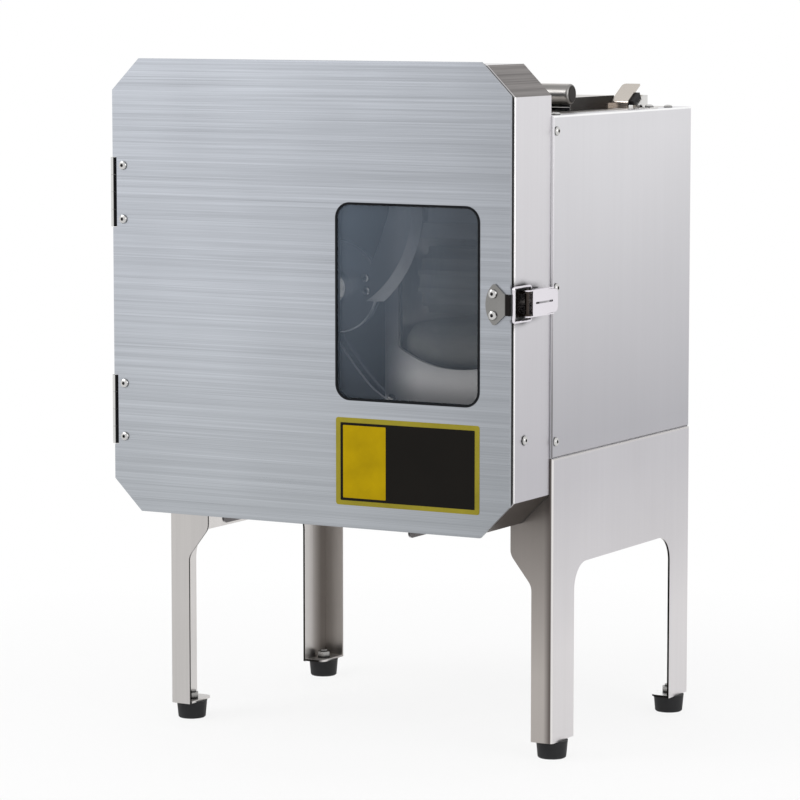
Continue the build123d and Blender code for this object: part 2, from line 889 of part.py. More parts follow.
# Guard lid with its finger tab and the padded stop on the right panel
def feed_lid():
    z_low = lid_top - lid_sheet
    foot = panel_top + loose
    hinge_reach = lid_hinge_y + sqrt(lid_knuckle_radius**2 - (lid_hinge_z - lid_top) ** 2) - 1
    plate = block(lid_left, lid_right, hinge_reach, lid_rear, z_low, lid_top)
    flange_front = lid_hinge_y + lid_knuckle_radius + 4
    for x_low in (lid_left, lid_right - lid_sheet):
        plate += block(x_low, x_low + lid_sheet, flange_front, lid_rear, foot, lid_top)
    plate += block(lid_left, lid_right, lid_rear - lid_sheet, lid_rear, foot, lid_top)
    window = rect(lid_fixed_left - loose, lid_fixed_right + loose, 0, lid_hinge_y + lid_knuckle_radius + 1)
    plate -= plan_prism(window, z_low - 1, lid_top + 1)
    for x_low, x_high in ((lid_knuckle_left, lid_fixed_left), (lid_fixed_right, lid_knuckle_right)):
        knuckle = side_prism(disc(lid_hinge_y, lid_hinge_z, lid_knuckle_radius), x_low, x_high)
        outer_end = knuckle.edges().filter_by(GeomType.CIRCLE)
        outer_end = outer_end.sort_by(Axis.X)[-1 if x_high == lid_knuckle_right else 0]
        plate += fillet(outer_end, 3)
    bore = disc(lid_hinge_y, lid_hinge_z, lid_pin_radius + running)
    return plate - side_prism(bore, lid_knuckle_left + 4, lid_knuckle_right - 4)


def lid_hinge_pin():
    pin = disc(lid_hinge_y, lid_hinge_z, lid_pin_radius)
    return side_prism(pin, lid_knuckle_left + 4 + loose, lid_knuckle_right - 4 - loose)


tab_back = tab_front + tab_sheet
tab_slope = (cos(radians(tab_rise_angle)), sin(radians(tab_rise_angle)))
tab_under = (sin(radians(tab_rise_angle)), -cos(radians(tab_rise_angle)))


def along_tab(distance, below):
    """A point in Y and Z at a distance up the tab's slope and below its upper face."""
    y = tab_front + tab_slope[0] * distance + tab_under[0] * below
    z = tab_knee_height + tab_slope[1] * distance + tab_under[1] * below
    return y, z


def lid_tab():
    foot = panel_top + loose
    knee_inside = tab_knee_height - tab_sheet * (1 - tab_slope[1]) / tab_slope[0]
    profile = outline(
        (tab_front, foot),
        (tab_front, tab_knee_height),
        along_tab(tab_rise_length, 0),
        along_tab(tab_rise_length, tab_sheet),
        (tab_back, knee_inside),
        (tab_back, foot),
    )
    knee = profile.vertices().filter_by(lambda corner: abs(corner.X - tab_front) < 0.01)
    profile = fillet(knee.sort_by(Axis.Y)[-1], 3)
    tab = side_prism(profile, tab_left, tab_right)
    corner = tab.edges().filter_by(lambda edge: edge.center().Z > along_tab(tab_rise_length, 0)[1] - 2)
    corner = corner.filter_by(lambda edge: edge.center().Y > tab_back + 10 and edge.length < 2 * tab_sheet)
    tab = fillet(corner.sort_by(Axis.X)[0], 4)
    leg_top = tab_knee_height - 2
    leg_front = tab_front - 10
    leg = block(lid_right, lid_right + tab_sheet, leg_front, tab_back, foot, leg_top)
    return tab + leg


def lid_stop_pad():
    below = tab_sheet + loose
    return side_prism(
        outline(
            along_tab(3, below),
            along_tab(3 + pad_length, below),
            along_tab(3 + pad_length, below + pad_thickness),
            along_tab(3, below + pad_thickness),
        ),
        stop_left,
        pad_right,
    )


def lid_stop_bracket():
    """A bent sheet on the right panel's top flange that carries the rubber pad."""
    under = tab_sheet + loose + pad_thickness
    sheet = 1.5
    slope_front = along_tab(2.5, under)
    slope_top = along_tab(5 + pad_length, under)
    back = slope_top[0] + sheet
    sloped = outline(
        slope_front,
        slope_top,
        (back, slope_top[1]),
        (back, slope_top[1] - sheet),
        (slope_front[0] + 3 * sheet, slope_front[1]),
    )
    rear_leg = rect(slope_top[0], back, panel_top + loose, slope_top[1])
    bracket = side_prism(sloped + rear_leg, stop_left, stop_right)
    foot_left = panel_right - panel_flange
    foot = block(foot_left, panel_right - 4, slope_front[0], back, panel_top, panel_top + sheet)
    heel = rect(slope_front[0], slope_front[0] + 3 * sheet, panel_top, slope_front[1])
    gusset = outline(
        (slope_front[0], panel_top),
        slope_front,
        slope_top,
        (back, slope_top[1]),
        (back, panel_top),
    )
    gusset = side_prism(gusset, stop_right - sheet, stop_right)
    return bracket + foot + gusset + side_prism(heel, foot_left, stop_right)


stop_screw_y = along_tab(5 + pad_length / 2, tab_sheet + pad_thickness)[0]
stop_screw_place = (panel_right - 9.4, stop_screw_y, panel_top + 1.5)

parts["feed_lid"] = feed_lid()
parts["lid_hinge_pin"] = lid_hinge_pin()
parts["lid_tab"] = lid_tab()
parts["lid_stop_pad"] = lid_stop_pad()
parts["lid_stop_bracket"] = lid_stop_bracket()


# Knife rotor: spindle with its disc, three curved knives, screws and nose nut
hub_front = knife_back
hub_back = hub_front + hub_thickness
housing_front = back_wall_back
housing_back = housing_front + housing_length
pulley_back = pulley_front + pulley_width


def knife_spindle():
    disc_part = front_prism(disc(0, spindle_height, hub_radius), hub_front, hub_back)
    rim = disc_part.edges().filter_by(GeomType.CIRCLE).sort_by(Axis.Y)[0]
    disc_part = chamfer(rim, 1.0)
    pilot = front_prism(disc(0, spindle_height, nose_radius - 4), knife_front - 3, hub_front)
    shaft = front_prism(disc(0, spindle_height, spindle_radius), hub_back, housing_back + 2)
    tail = front_prism(disc(0, spindle_height, spindle_tail_radius), housing_back + 2, pulley_back + 14)
    return disc_part + pilot + shaft + tail


def knife_point(x, z):
    return x, spindle_height + z


def knife_profile():
    """One curved knife: a convex cutting edge, a rounded tip and a hollow back edge."""
    reach = knife_tip_radius
    heel_in = knife_point(20, -12)
    heel_out = knife_point(51, -12)
    edge_mid = knife_point(0.406 * reach, 0.117 * reach)
    edge_side = knife_point(0.472 * reach, 0.347 * reach)
    tip_angle = radians(72)
    tip_out = knife_point(reach * cos(tip_angle), reach * sin(tip_angle))
    tip_in = knife_point(0.194 * reach, 0.918 * reach)
    back_mid = knife_point(0.245 * reach, 0.214 * reach)
    back_side = knife_point(0.309 * reach, 0.408 * reach)
    lower_edge = ThreePointArc(heel_out, edge_mid, edge_side)
    upper_edge = TangentArc(edge_side, tip_out, tangent=(0, 1))
    tip = Line(tip_out, tip_in)
    upper_back = TangentArc(back_side, tip_in, tangent=(0.12, 1))
    lower_back = ThreePointArc(heel_in, back_mid, back_side)
    heel = Line(heel_in, heel_out)
    pieces = lower_edge.edges() + upper_edge.edges() + tip.edges()
    pieces += upper_back.edges() + lower_back.edges() + heel.edges()
    return make_face(pieces)


bevel_width = 10.0
bevel_land = 0.5
knife_screw_radius = 35.0
knife_screw_angles = (-4.0, 16.0)


def knife_screw_places():
    return [
        (knife_screw_radius * cos(radians(angle)), knife_screw_radius * sin(radians(angle)))
        for angle in knife_screw_angles
    ]


def knife_blade():
    blade = front_prism(knife_profile(), knife_front, knife_back)
    front_face = blade.faces().sort_by(Axis.Y)[0]
    cutting = front_face.edges().filter_by(GeomType.CIRCLE).sort_by(Axis.X)[-2:]
    blade = chamfer(cutting, bevel_width, knife_thickness - bevel_land, reference=front_face)
    blade -= front_prism(disc(0, spindle_height, nose_radius + loose), knife_front - 1, knife_back + 1)
    return blade


def around_spindle(solid, index):
    turn = Axis((0, 0, spindle_height), (0, 1, 0))
    return solid.rotate(turn, index * 360.0 / knife_count)


def knife_screws():
    heads = []
    for index in range(knife_count):
        for x, z in knife_screw_places():
            head = aimed(button_screw(), (x, knife_front, spindle_height + z), (0, -1, 0))
            heads.append(around_spindle(head, index))
    return group(heads)


def knife_nose():
    body = front_prism(disc(0, spindle_height, nose_radius), knife_front - nose_length, hub_front)
    front_rim = body.edges().filter_by(GeomType.CIRCLE).sort_by(Axis.Y)[0]
    body = chamfer(front_rim, 5)
    flats = rect(-nose_radius, nose_radius, spindle_height + 12.5, spindle_height + 20)
    for side in (0, 180):
        cut = front_prism(flats, knife_front - nose_length - 1, knife_front - 5)
        body -= cut.rotate(Axis((0, 0, spindle_height), (0, 1, 0)), side)
    return body - front_prism(disc(0, spindle_height, nose_radius - 4), knife_front - 3, hub_front + 1)


def v_pulley(x, z, radius, bore):
    """A belt pulley: a disc with a V groove, lightened by a recess on its rear face."""
    half = pulley_width / 2
    middle = (pulley_front + pulley_back) / 2
    groove = belt_depth + 2
    profile = outline(
        (bore, -half),
        (radius, -half),
        (radius, -belt_outer_width / 2 - 0.4),
        (radius - groove, -belt_inner_width / 2 + 0.3),
        (radius - groove, belt_inner_width / 2 - 0.3),
        (radius, belt_outer_width / 2 + 0.4),
        (radius, half),
        (bore, half),
    )
    wheel = revolve(Plane.XZ * profile, Axis.Z)
    if radius > 2.5 * bore:
        recess = ring(0, 0, radius - groove - 5, bore + 8)
        wheel -= extrude(Plane.XY.offset(half - 4) * recess, 5)
    return Plane(origin=(x, middle, z), z_dir=(0, 1, 0)) * wheel


motor_z = floor_top + motor_axis_height

parts["knife_spindle"] = knife_spindle()
first_knife = knife_blade()
parts["knife_blades"] = group(around_spindle(first_knife, index) for index in range(knife_count))
parts["knife_screws"] = knife_screws()
parts["knife_nose_nut"] = knife_nose()
parts["knife_pulley"] = v_pulley(0, spindle_height, knife_pulley_radius, spindle_tail_radius)


# Spindle housing and its two bearings
def spindle_housing():
    shape = disc(0, spindle_height, housing_flange_radius)
    body = front_prism(shape, housing_front, housing_front + housing_flange_thickness)
    body += front_prism(disc(0, spindle_height, housing_radius), housing_front, housing_back)
    bore = disc(0, spindle_height, spindle_radius + 3)
    body -= front_prism(bore, housing_front - 1, housing_back + 1)
    seat = disc(0, spindle_height, bearing_radius)
    for seat_low, seat_high in bearing_spans():
        body -= front_prism(seat, seat_low, seat_high)
    return body


def bearing_spans():
    return (
        (housing_front, housing_front + bearing_width),
        (housing_back - bearing_width, housing_back),
    )


def ball_bearing(y_low, y_high):
    body = ring(0, spindle_height, bearing_radius, spindle_radius + running)
    body = front_prism(body, y_low, y_high)
    groove = ring(0, spindle_height, bearing_radius - 3.5, spindle_radius + 3.5)
    body -= front_prism(groove, y_low - 1, y_low + 1.2)
    return body - front_prism(groove, y_high - 1.2, y_high + 1)


parts["spindle_housing"] = spindle_housing()
parts["spindle_bearings"] = group(ball_bearing(*span) for span in bearing_spans())
housing_screw_places = [
    (
        housing_screw_circle * cos(radians(angle)),
        housing_front + housing_flange_thickness,
        spindle_height + housing_screw_circle * sin(radians(angle)),
    )
    for angle in (45, 135, 225, 315)
]
housing_screws = screws(housing_screw_places, (0, 1, 0))
stop_screws = screws([stop_screw_place], (0, 0, 1))
parts["body_screws"] = group(chamber_screws + panel_screws + housing_screws + stop_screws)


# Knife motor, its shaft and pulley, and the belt
def knife_motor():
    back = motor_front + motor_length
    body = front_prism(disc(motor_x, motor_z, motor_body_radius), motor_front, back)
    for index in range(motor_fin_count):
        angle = 360.0 * index / motor_fin_count
        fin = rect(motor_body_radius - 2, motor_fin_radius, -1.2, 1.2)
        fin = Pos(motor_x, motor_z) * Rot(0, 0, angle) * fin
        body += front_prism(fin, motor_front + 16, back - 30)
    body += front_prism(disc(motor_x, motor_z, motor_fin_radius), back - 28, back)
    body += front_prism(disc(motor_x, motor_z, motor_fin_radius - 3), motor_front, motor_front + 12)
    foot_half = 56
    for y in (motor_front + 24, back - 54):
        leg = rect(motor_x - foot_half, motor_x + foot_half, floor_top, floor_top + 8)
        leg += rect(motor_x - 36, motor_x + 36, floor_top, motor_z - motor_body_radius + 12)
        leg -= disc(motor_x, motor_z, motor_body_radius - 1)
        body += front_prism(leg, y, y + 20)
    wiring_box = rect(motor_x - 30, motor_x + 30, motor_front + 30, motor_front + 100)
    body += plan_prism(wiring_box, motor_z + 40, motor_z + 76)
    shaft_room = disc(motor_x, motor_z, motor_shaft_radius + running)
    return body - front_prism(shaft_room, motor_front - 1, motor_front + 34)


def motor_shaft():
    shaft = front_prism(
        disc(motor_x, motor_z, motor_shaft_radius), pulley_front - 4, motor_front + 34 - loose
    )
    return chamfer(shaft.edges().filter_by(GeomType.CIRCLE).sort_by(Axis.Y)[0], 1)


def drive_belt():
    """A V belt on open tangents round the two pulleys."""
    middle = (pulley_front + pulley_back) / 2
    knife_outer = knife_pulley_radius - 0.6
    motor_outer = motor_pulley_radius - 0.6
    dx = motor_x
    dz = motor_z - spindle_height
    distance = hypot(dx, dz)
    lean = (knife_outer - motor_outer) / distance
    rise = sqrt(1 - lean**2)
    big_up = (knife_outer * lean, knife_outer * rise)
    big_down = (knife_outer * lean, -knife_outer * rise)
    small_up = (distance + motor_outer * lean, motor_outer * rise)
    small_down = (distance + motor_outer * lean, -motor_outer * rise)
    edges = Line(small_up, big_up).edges()
    edges += ThreePointArc(big_up, (-knife_outer, 0), big_down).edges()
    edges += Line(big_down, small_down).edges()
    edges += ThreePointArc(small_down, (distance + motor_outer, 0), small_up).edges()
    turned = Plane(origin=(0, middle, spindle_height), x_dir=(dx, 0, dz), z_dir=(0, -1, 0))
    path = turned * Wire(edges)
    start = turned.from_local_coords((*small_up, 0))
    ahead = turned.from_local_coords((*big_up, 0)) - start
    section = Plane(origin=start, x_dir=(0, 1, 0), z_dir=ahead)
    motor_middle = turned.from_local_coords((distance, 0, 0))
    inward = belt_depth if section.y_dir.dot(motor_middle - start) > 0 else -belt_depth
    half_out = belt_outer_width / 2 - loose / 2
    half_in = belt_inner_width / 2 - loose / 2
    profile = section * outline((-half_out, 0), (half_out, 0), (half_in, inward), (-half_in, inward))
    return sweep(profile, path=path)


parts["knife_motor"] = knife_motor()
parts["motor_shaft"] = motor_shaft()
parts["motor_pulley"] = v_pulley(motor_x, motor_z, motor_pulley_radius, motor_shaft_radius)
parts["drive_belt"] = drive_belt()


# Feed conveyor: two side walls, slider bed, rollers in bushes, belt and gear motor
roller_z = belt_top - belt_thickness - roller_radius
press_roller_z = belt_top + press_roller_gap + press_roller_radius
roller_ys = (front_roller_y, drive_roller_y)
wall_spans = (
    (channel_left - conveyor_wall, channel_left),
    (channel_right, channel_right + conveyor_wall),
)


def conveyor_wall_shape():
    face = outline(
        (back_wall_back, floor_top),
        (body_back - 2 * panel_sheet, floor_top),
        (body_back - 2 * panel_sheet, panel_top - panel_sheet),
        (back_wall_back, panel_top - panel_sheet),
    )
    for y in roller_ys:
        face -= disc(y, roller_z, bush_radius)
    return face - disc(press_pivot_y, press_pivot_z, press_shaft_radius)


def arm_stop_place():
    """The stop pin's middle, just under the press arm's lower edge."""
    dy = press_roller_y - press_pivot_y
    dz = press_roller_z - press_pivot_z
    length = hypot(dy, dz)
    below = press_arm_height / 2 + loose + arm_stop_radius
    y = press_pivot_y + dy * arm_stop_reach / length - below * dz / length
    z = press_pivot_z + dz * arm_stop_reach / length + below * dy / length
    return y, z


def conveyor_side_wall(x_low, x_high, foot_side):
    wall = side_prism(conveyor_wall_shape(), x_low, x_high)
    foot_far = x_low - 16 if foot_side < 0 else x_high + 16
    foot = rect(min(x_low, foot_far), max(x_high, foot_far), chamber_back + 20, body_back - 20)
    foot = plan_prism(foot, floor_top, floor_top + 3)
    reach = press_arm_inset + press_arm_sheet
    pin_low = x_high if foot_side < 0 else x_low - reach
    pin = side_prism(disc(*arm_stop_place(), arm_stop_radius), pin_low, pin_low + reach)
    return wall + foot + pin


def roller_bush(x_low, x_high, y, inward):
    body = side_prism(ring(y, roller_z, bush_radius, roller_shaft_radius + running), x_low, x_high)
    collar_low = x_high if inward > 0 else x_low - 2
    collar = ring(y, roller_z, bush_flange_radius, roller_shaft_radius + running)
    return body + side_prism(collar, collar_low, collar_low + 2)


roller_left = channel_left + conveyor_side_gap
roller_right = channel_right - conveyor_side_gap


def feed_roller(y, shaft_left):
    body = side_prism(disc(y, roller_z, roller_radius), roller_left + 1, roller_right - 1)
    body = chamfer(body.edges().filter_by(GeomType.CIRCLE), 0.8)
    shaft = disc(y, roller_z, roller_shaft_radius)
    return body + side_prism(shaft, shaft_left, channel_right + conveyor_wall)


def feed_belt():
    inner = roller_radius + running
    outer = inner + belt_thickness - running

    def loop(radius):
        straight = rect(front_roller_y, drive_roller_y, roller_z - radius, roller_z + radius)
        return straight + disc(front_roller_y, roller_z, radius) + disc(drive_roller_y, roller_z, radius)

    return side_prism(loop(outer) - loop(inner), roller_left + 2, roller_right - 2)


def belt_bed():
    top = roller_z + roller_radius - loose
    front = front_roller_y + roller_radius + 6
    rear = drive_roller_y - roller_radius - 6
    bed = block(channel_left, channel_right, front, rear, top - bed_thickness, top)
    for x_low in (channel_left, channel_right - 2):
        bed += block(x_low, x_low + 2, front + 20, rear - 20, top - 14, top)
    return bed


def feed_gear_motor():
    gearbox_right = channel_left - conveyor_wall
    gearbox_left = gearbox_right - gearbox_length
    half = gearbox_size / 2
    case = round_rect(drive_roller_y - half, drive_roller_y + half, roller_z - half, roller_z + half, 6)
    body = side_prism(case, gearbox_left, gearbox_right)
    can = disc(drive_roller_y, roller_z, gear_motor_radius)
    can = side_prism(can, gearbox_left - gear_motor_length, gearbox_left)
    can = chamfer(can.edges().filter_by(GeomType.CIRCLE).sort_by(Axis.X)[0], 3)
    body += can
    room = disc(drive_roller_y, roller_z, roller_shaft_radius + running)
    return body - side_prism(room, gearbox_right - 30, gearbox_right + 1)


parts["conveyor_walls"] = group(
    conveyor_side_wall(*span, foot_side) for span, foot_side in zip(wall_spans, (-1, 1))
)
parts["roller_bushes"] = group(
    roller_bush(x_low, x_high, y, inward)
    for (x_low, x_high), inward in zip(wall_spans, (1, -1))
    for y in roller_ys
)
parts["front_roller"] = feed_roller(front_roller_y, channel_left - conveyor_wall)
parts["drive_roller"] = feed_roller(drive_roller_y, channel_left - conveyor_wall - 28)
parts["feed_belt"] = feed_belt()
parts["belt_bed"] = belt_bed()
parts["feed_gear_motor"] = feed_gear_motor()


# Press arm with the fluted press roller, its pivot shaft and torsion springs
arm_left = channel_left + press_arm_inset
arm_right = channel_right - press_arm_inset
arm_spans = ((arm_left, arm_left + press_arm_sheet), (arm_right - press_arm_sheet, arm_right))
tie_y = (press_pivot_y + press_roller_y) / 2 + 8
tie_z = (press_pivot_z + press_roller_z) / 2 + 12


def press_arm():
    half = press_arm_height / 2
    dy = press_roller_y - press_pivot_y
    dz = press_roller_z - press_pivot_z
    length = hypot(dy, dz)
    angle = degrees(atan2(dz, dy))
    bar = Pos(press_pivot_y, press_pivot_z) * Rot(0, 0, angle) * rect(0, length, -half, half)
    face = bar + disc(press_pivot_y, press_pivot_z, half) + disc(press_roller_y, press_roller_z, half)
    face -= disc(press_pivot_y, press_pivot_z, press_shaft_radius + running)
    face -= disc(press_roller_y, press_roller_z, press_shaft_radius + running)
    face -= disc(tie_y, tie_z, press_tie_radius)
    slot = Pos(press_pivot_y, press_pivot_z) * Rot(0, 0, angle) * round_rect(22, 44, -5, 5, 4.9)
    face -= slot
    arm = None
    for x_low, x_high in arm_spans:
        plate = side_prism(face, x_low, x_high)
        arm = plate if arm is None else arm + plate
    return arm + side_prism(disc(tie_y, tie_z, press_tie_radius), arm_left, arm_right)


def press_roller():
    face = disc(press_roller_y, press_roller_z, press_roller_radius)
    for index in range(press_flutes):
        angle = 2 * pi * index / press_flutes
        reach = press_roller_radius + 1.5
        flute_y = press_roller_y + reach * cos(angle)
        flute_z = press_roller_z + reach * sin(angle)
        face -= disc(flute_y, flute_z, press_flute_radius)
    body = side_prism(face, arm_left + press_arm_sheet + 2, arm_right - press_arm_sheet - 2)
    shaft = disc(press_roller_y, press_roller_z, press_shaft_radius)
    return body + side_prism(shaft, arm_left - 1.5, arm_right + 1.5)


def press_pivot_shaft():
    shaft = disc(press_pivot_y, press_pivot_z, press_shaft_radius)
    return side_prism(shaft, channel_left - conveyor_wall - 3, channel_right + conveyor_wall + 3)


def press_spring(x_start, hand):
    """A close-wound torsion spring round the pivot shaft, as one turned body with a groove per turn."""
    inner = press_shaft_radius + 2 * running
    outer = inner + spring_wire
    crown = outer - spring_wire * 0.35
    points = [(inner, 0), (crown, 0)]
    for turn in range(spring_turns):
        low = turn * spring_wire
        points.append((outer, low + 0.3 * spring_wire))
        points.append((outer, low + 0.7 * spring_wire))
        points.append((crown, low + spring_wire))
    points.append((inner, spring_turns * spring_wire))
    coil = revolve(Plane.XZ * outline(*points), Axis.Z)
    seat = Plane(origin=(x_start, press_pivot_y, press_pivot_z), z_dir=(hand, 0, 0))
    return seat * coil


parts["press_arm"] = press_arm()
parts["press_roller"] = press_roller()
parts["press_pivot_shaft"] = press_pivot_shaft()
parts["press_springs"] = group(
    [
        press_spring(arm_left + press_arm_sheet + 2, 1),
        press_spring(arm_right - press_arm_sheet - 2, -1),
    ]
)


# Controls on the left panel: bezel plate, speed knob, start button and stop button
control_face = panel_left - panel_sheet
control_low = (knob_z + stop_z) / 2 - control_plate_height / 2
control_high = control_low + control_plate_height


def control_plate():
    half = control_plate_width / 2
    plate = round_rect(control_y - half, control_y + half, control_low, control_high, 6)
    body = side_prism(plate, control_face, panel_left)
    for z, radius in ((start_z, button_radius + 3), (stop_z, button_radius + 3)):
        bezel = side_prism(disc(control_y, z, radius), control_face - 2.5, control_face)
        body += chamfer(bezel.edges().filter_by(GeomType.CIRCLE).sort_by(Axis.X)[0], 1)
    for z, radius in ((start_z, button_radius), (stop_z, button_stem), (knob_z, 3)):
        body -= side_prism(disc(control_y, z, radius + 0.1), control_face - 10, panel_left + 10)
    return body


def control_box():
    half = control_plate_width / 2 - 8
    body = rect(panel_left + panel_sheet, panel_left + 46, control_y - half, control_y + half)
    body = plan_prism(body, control_low + 8, control_high - 8)
    for z in (start_z, stop_z, knob_z):
        reach = button_radius + 0.1 if z == start_z else button_stem + 0.1
        body -= side_prism(disc(control_y, z, reach), panel_left, panel_left + 16)
    return body


def start_button():
    body = side_prism(disc(control_y, start_z, button_radius), control_face - 5.5, panel_left + 8)
    return chamfer(body.edges().filter_by(GeomType.CIRCLE).sort_by(Axis.X)[0], 1.2)


def stop_button():
    head_low = control_face - 2.5 - button_travel - 1 - 11
    head = side_prism(disc(control_y, stop_z, stop_radius), head_low, head_low + 11)
    head = fillet(head.edges().filter_by(GeomType.CIRCLE).sort_by(Axis.X)[0], 5)
    return head + side_prism(disc(control_y, stop_z, button_stem), head_low + 5, panel_left + 8)


def speed_knob():
    low = control_face - loose - knob_length
    body = side_prism(disc(control_y, knob_z, knob_radius), low, control_face - loose)
    body = chamfer(body.edges().filter_by(GeomType.CIRCLE).sort_by(Axis.X)[0], 1.5)
    for index in range(16):
        angle = 2 * pi * index / 16
        groove = disc(control_y + knob_radius * cos(angle), knob_z + knob_radius * sin(angle), 1.3)
        body -= side_prism(groove, low - 1, low + knob_length - 4)
    return body + side_prism(disc(control_y, knob_z, 3), low + 5, panel_left + 8)


def panel_holes(panel):
    for z, radius in ((start_z, button_radius + 0.4), (stop_z, button_stem + 0.4), (knob_z, 3.4)):
        panel -= side_prism(disc(control_y, z, radius), panel_left - 1, panel_left + panel_sheet + 1)
    return panel


parts["side_panel_left"] = panel_holes(parts["side_panel_left"])
parts["control_plate"] = control_plate()
parts["control_box"] = control_box()
parts["start_button"] = start_button()
parts["stop_button"] = stop_button()
parts["speed_knob"] = speed_knob()


# Everything is moved so that the origin lies on the floor under the middle of the whole machine
whole = group(solid for shape in parts.values() for solid in shape.solids()).bounding_box()
origin_x = round((whole.min.X + whole.max.X) / 2, 3)
origin_y = round((whole.min.Y + whole.max.Y) / 2, 3)
print("origin", origin_x, origin_y, "size", whole.size)

to_origin = Location((-origin_x, -origin_y, 0))
os.makedirs("parts", exist_ok=True)
for name, shape in parts.items():
    solids = [solid.moved(to_origin) for solid in shape.solids()]
    export_step(solids[0] if len(solids) == 1 else group(solids), f"parts/{name}.step")
print(len(parts), "nodes")
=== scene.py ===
import json
from math import cos, radians, sin

import bmesh
import bpy
from mathutils import Matrix, Vector


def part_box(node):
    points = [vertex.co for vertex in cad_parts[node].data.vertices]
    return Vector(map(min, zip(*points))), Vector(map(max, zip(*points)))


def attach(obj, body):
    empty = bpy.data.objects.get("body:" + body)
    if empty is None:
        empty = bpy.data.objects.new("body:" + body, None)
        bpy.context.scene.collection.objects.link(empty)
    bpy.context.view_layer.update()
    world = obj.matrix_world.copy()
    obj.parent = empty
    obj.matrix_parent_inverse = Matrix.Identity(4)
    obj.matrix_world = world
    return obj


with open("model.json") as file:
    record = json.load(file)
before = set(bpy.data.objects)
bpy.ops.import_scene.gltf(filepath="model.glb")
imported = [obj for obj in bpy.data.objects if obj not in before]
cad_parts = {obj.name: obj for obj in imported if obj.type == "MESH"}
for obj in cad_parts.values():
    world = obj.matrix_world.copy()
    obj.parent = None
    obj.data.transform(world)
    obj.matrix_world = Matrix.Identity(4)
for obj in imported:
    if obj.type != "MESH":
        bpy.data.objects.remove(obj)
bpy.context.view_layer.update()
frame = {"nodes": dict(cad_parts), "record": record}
nodes = frame["nodes"]
slots = {part["node"]: part["material_slot"] for part in frame["record"]["subparts"]}

# The door's middle and front face, from which at() measures
door_low, door_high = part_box("door_plate")
MIDDLE = (door_low.x + door_high.x) / 2
FRONT = door_low.y


def at(x, y, z):
    """A point given in millimetres from the door's middle, its front face and the floor."""
    return Vector((MIDDLE + x / 1000, FRONT + y / 1000, z / 1000))


# Colours, written as they look on a screen
def srgb(value):
    value = value / 255
    return value / 12.92 if value <= 0.04045 else ((value + 0.055) / 1.055) ** 2.4


def colour(red, green, blue):
    return (srgb(red), srgb(green), srgb(blue), 1.0)


def height_shading(low, high, bottom, top):
    """Painted light and shade: two colours that run into each other between two heights in metres."""
    return {"low": low, "high": high, "heights": (bottom, top)}


def streaked(low, high, grain):
    """Two colours mixed in long streaks."""
    return {"low": low, "high": high, "grain": grain}


def between(axis, start, end):
    """A place on a piece: from nothing at the start to full at the end and past it, in metres."""
    return (axis, start, end)


def painted_on_faces(direction, sets_in, tone, *places):
    """Painted light and shade for the faces turned to a direction, and only in the places that are given.

    It sets in between two cosines of the angle between the face and the direction.
    """
    return (direction, sets_in, tone, places)


# How noise is stretched for brushing along an axis; "long" has the longest strokes
GRAINS = {
    "x": (0.45, 60, 60),
    "long": (0.16, 60, 60),
    "y": (60, 0.45, 60),
    "z": (60, 60, 0.6),
}

# Sockets of the colour Mix node
MIX_FACTOR = 0
MIX_FIRST = 6
MIX_SECOND = 7
MIX_RESULT = 2


# Shader nodes
def new_material(name):
    material = bpy.data.materials.new(name)
    material.use_nodes = True
    tree = material.node_tree
    return material, tree, tree.nodes["Principled BSDF"]


def add(tree, kind, **settings):
    node = tree.nodes.new(kind)
    for key, value in settings.items():
        setattr(node, key, value)
    return node


def place_on_piece(tree, output):
    """A piece's own coordinates, or its own normals."""
    return add(tree, "ShaderNodeTexCoord").outputs[output]


def noise(tree, scale, detail, rough, stretch=(1, 1, 1), distortion=0.0):
    """Noise in the piece's own coordinates, most of it between 0.3 and 0.7."""
    mapping = add(tree, "ShaderNodeMapping")
    mapping.inputs["Scale"].default_value = stretch
    tree.links.new(place_on_piece(tree, "Object"), mapping.inputs["Vector"])
    texture = add(tree, "ShaderNodeTexNoise")
    texture.inputs["Scale"].default_value = scale
    texture.inputs["Detail"].default_value = detail
    texture.inputs["Roughness"].default_value = rough
    texture.inputs["Distortion"].default_value = distortion
    tree.links.new(mapping.outputs["Vector"], texture.inputs["Vector"])
    return texture.outputs["Fac"]


def brushing(tree, scale, grain):
    return noise(tree, scale, detail=3.0, rough=0.7, stretch=GRAINS[grain])


def remap(tree, source, low, high, start=0.3, end=0.7):
    """The source turned from start and end into low and high, and held there beyond them."""
    node = add(tree, "ShaderNodeMapRange")
    node.inputs["From Min"].default_value = start
    node.inputs["From Max"].default_value = end
    node.inputs["To Min"].default_value = low
    node.inputs["To Max"].default_value = high
    tree.links.new(source, node.inputs["Value"])
    return node.outputs["Result"]


def rescale(tree, share, low, high):
    """A share from 0 to 1 turned into low to high."""
    return remap(tree, share, low, high, 0.0, 1.0)


def combine(tree, operation, first, second):
    node = add(tree, "ShaderNodeMath", operation=operation)
    for socket, value in zip(node.inputs, (first, second)):
        if isinstance(value, (int, float)):
            socket.default_value = value
        else:
            tree.links.new(value, socket)
    return node.outputs[0]


def multiply(tree, first, *others):
    for other in others:
        first = combine(tree, "MULTIPLY", first, other)
    return first


def tint(tree, base, factor):
    """The colour multiplied by a varying factor."""
    node = add(tree, "ShaderNodeVectorMath", operation="SCALE")
    if isinstance(base, tuple):
        node.inputs[0].default_value = base[:3]
    else:
        tree.links.new(base, node.inputs[0])
    tree.links.new(factor, node.inputs["Scale"])
    return node.outputs["Vector"]


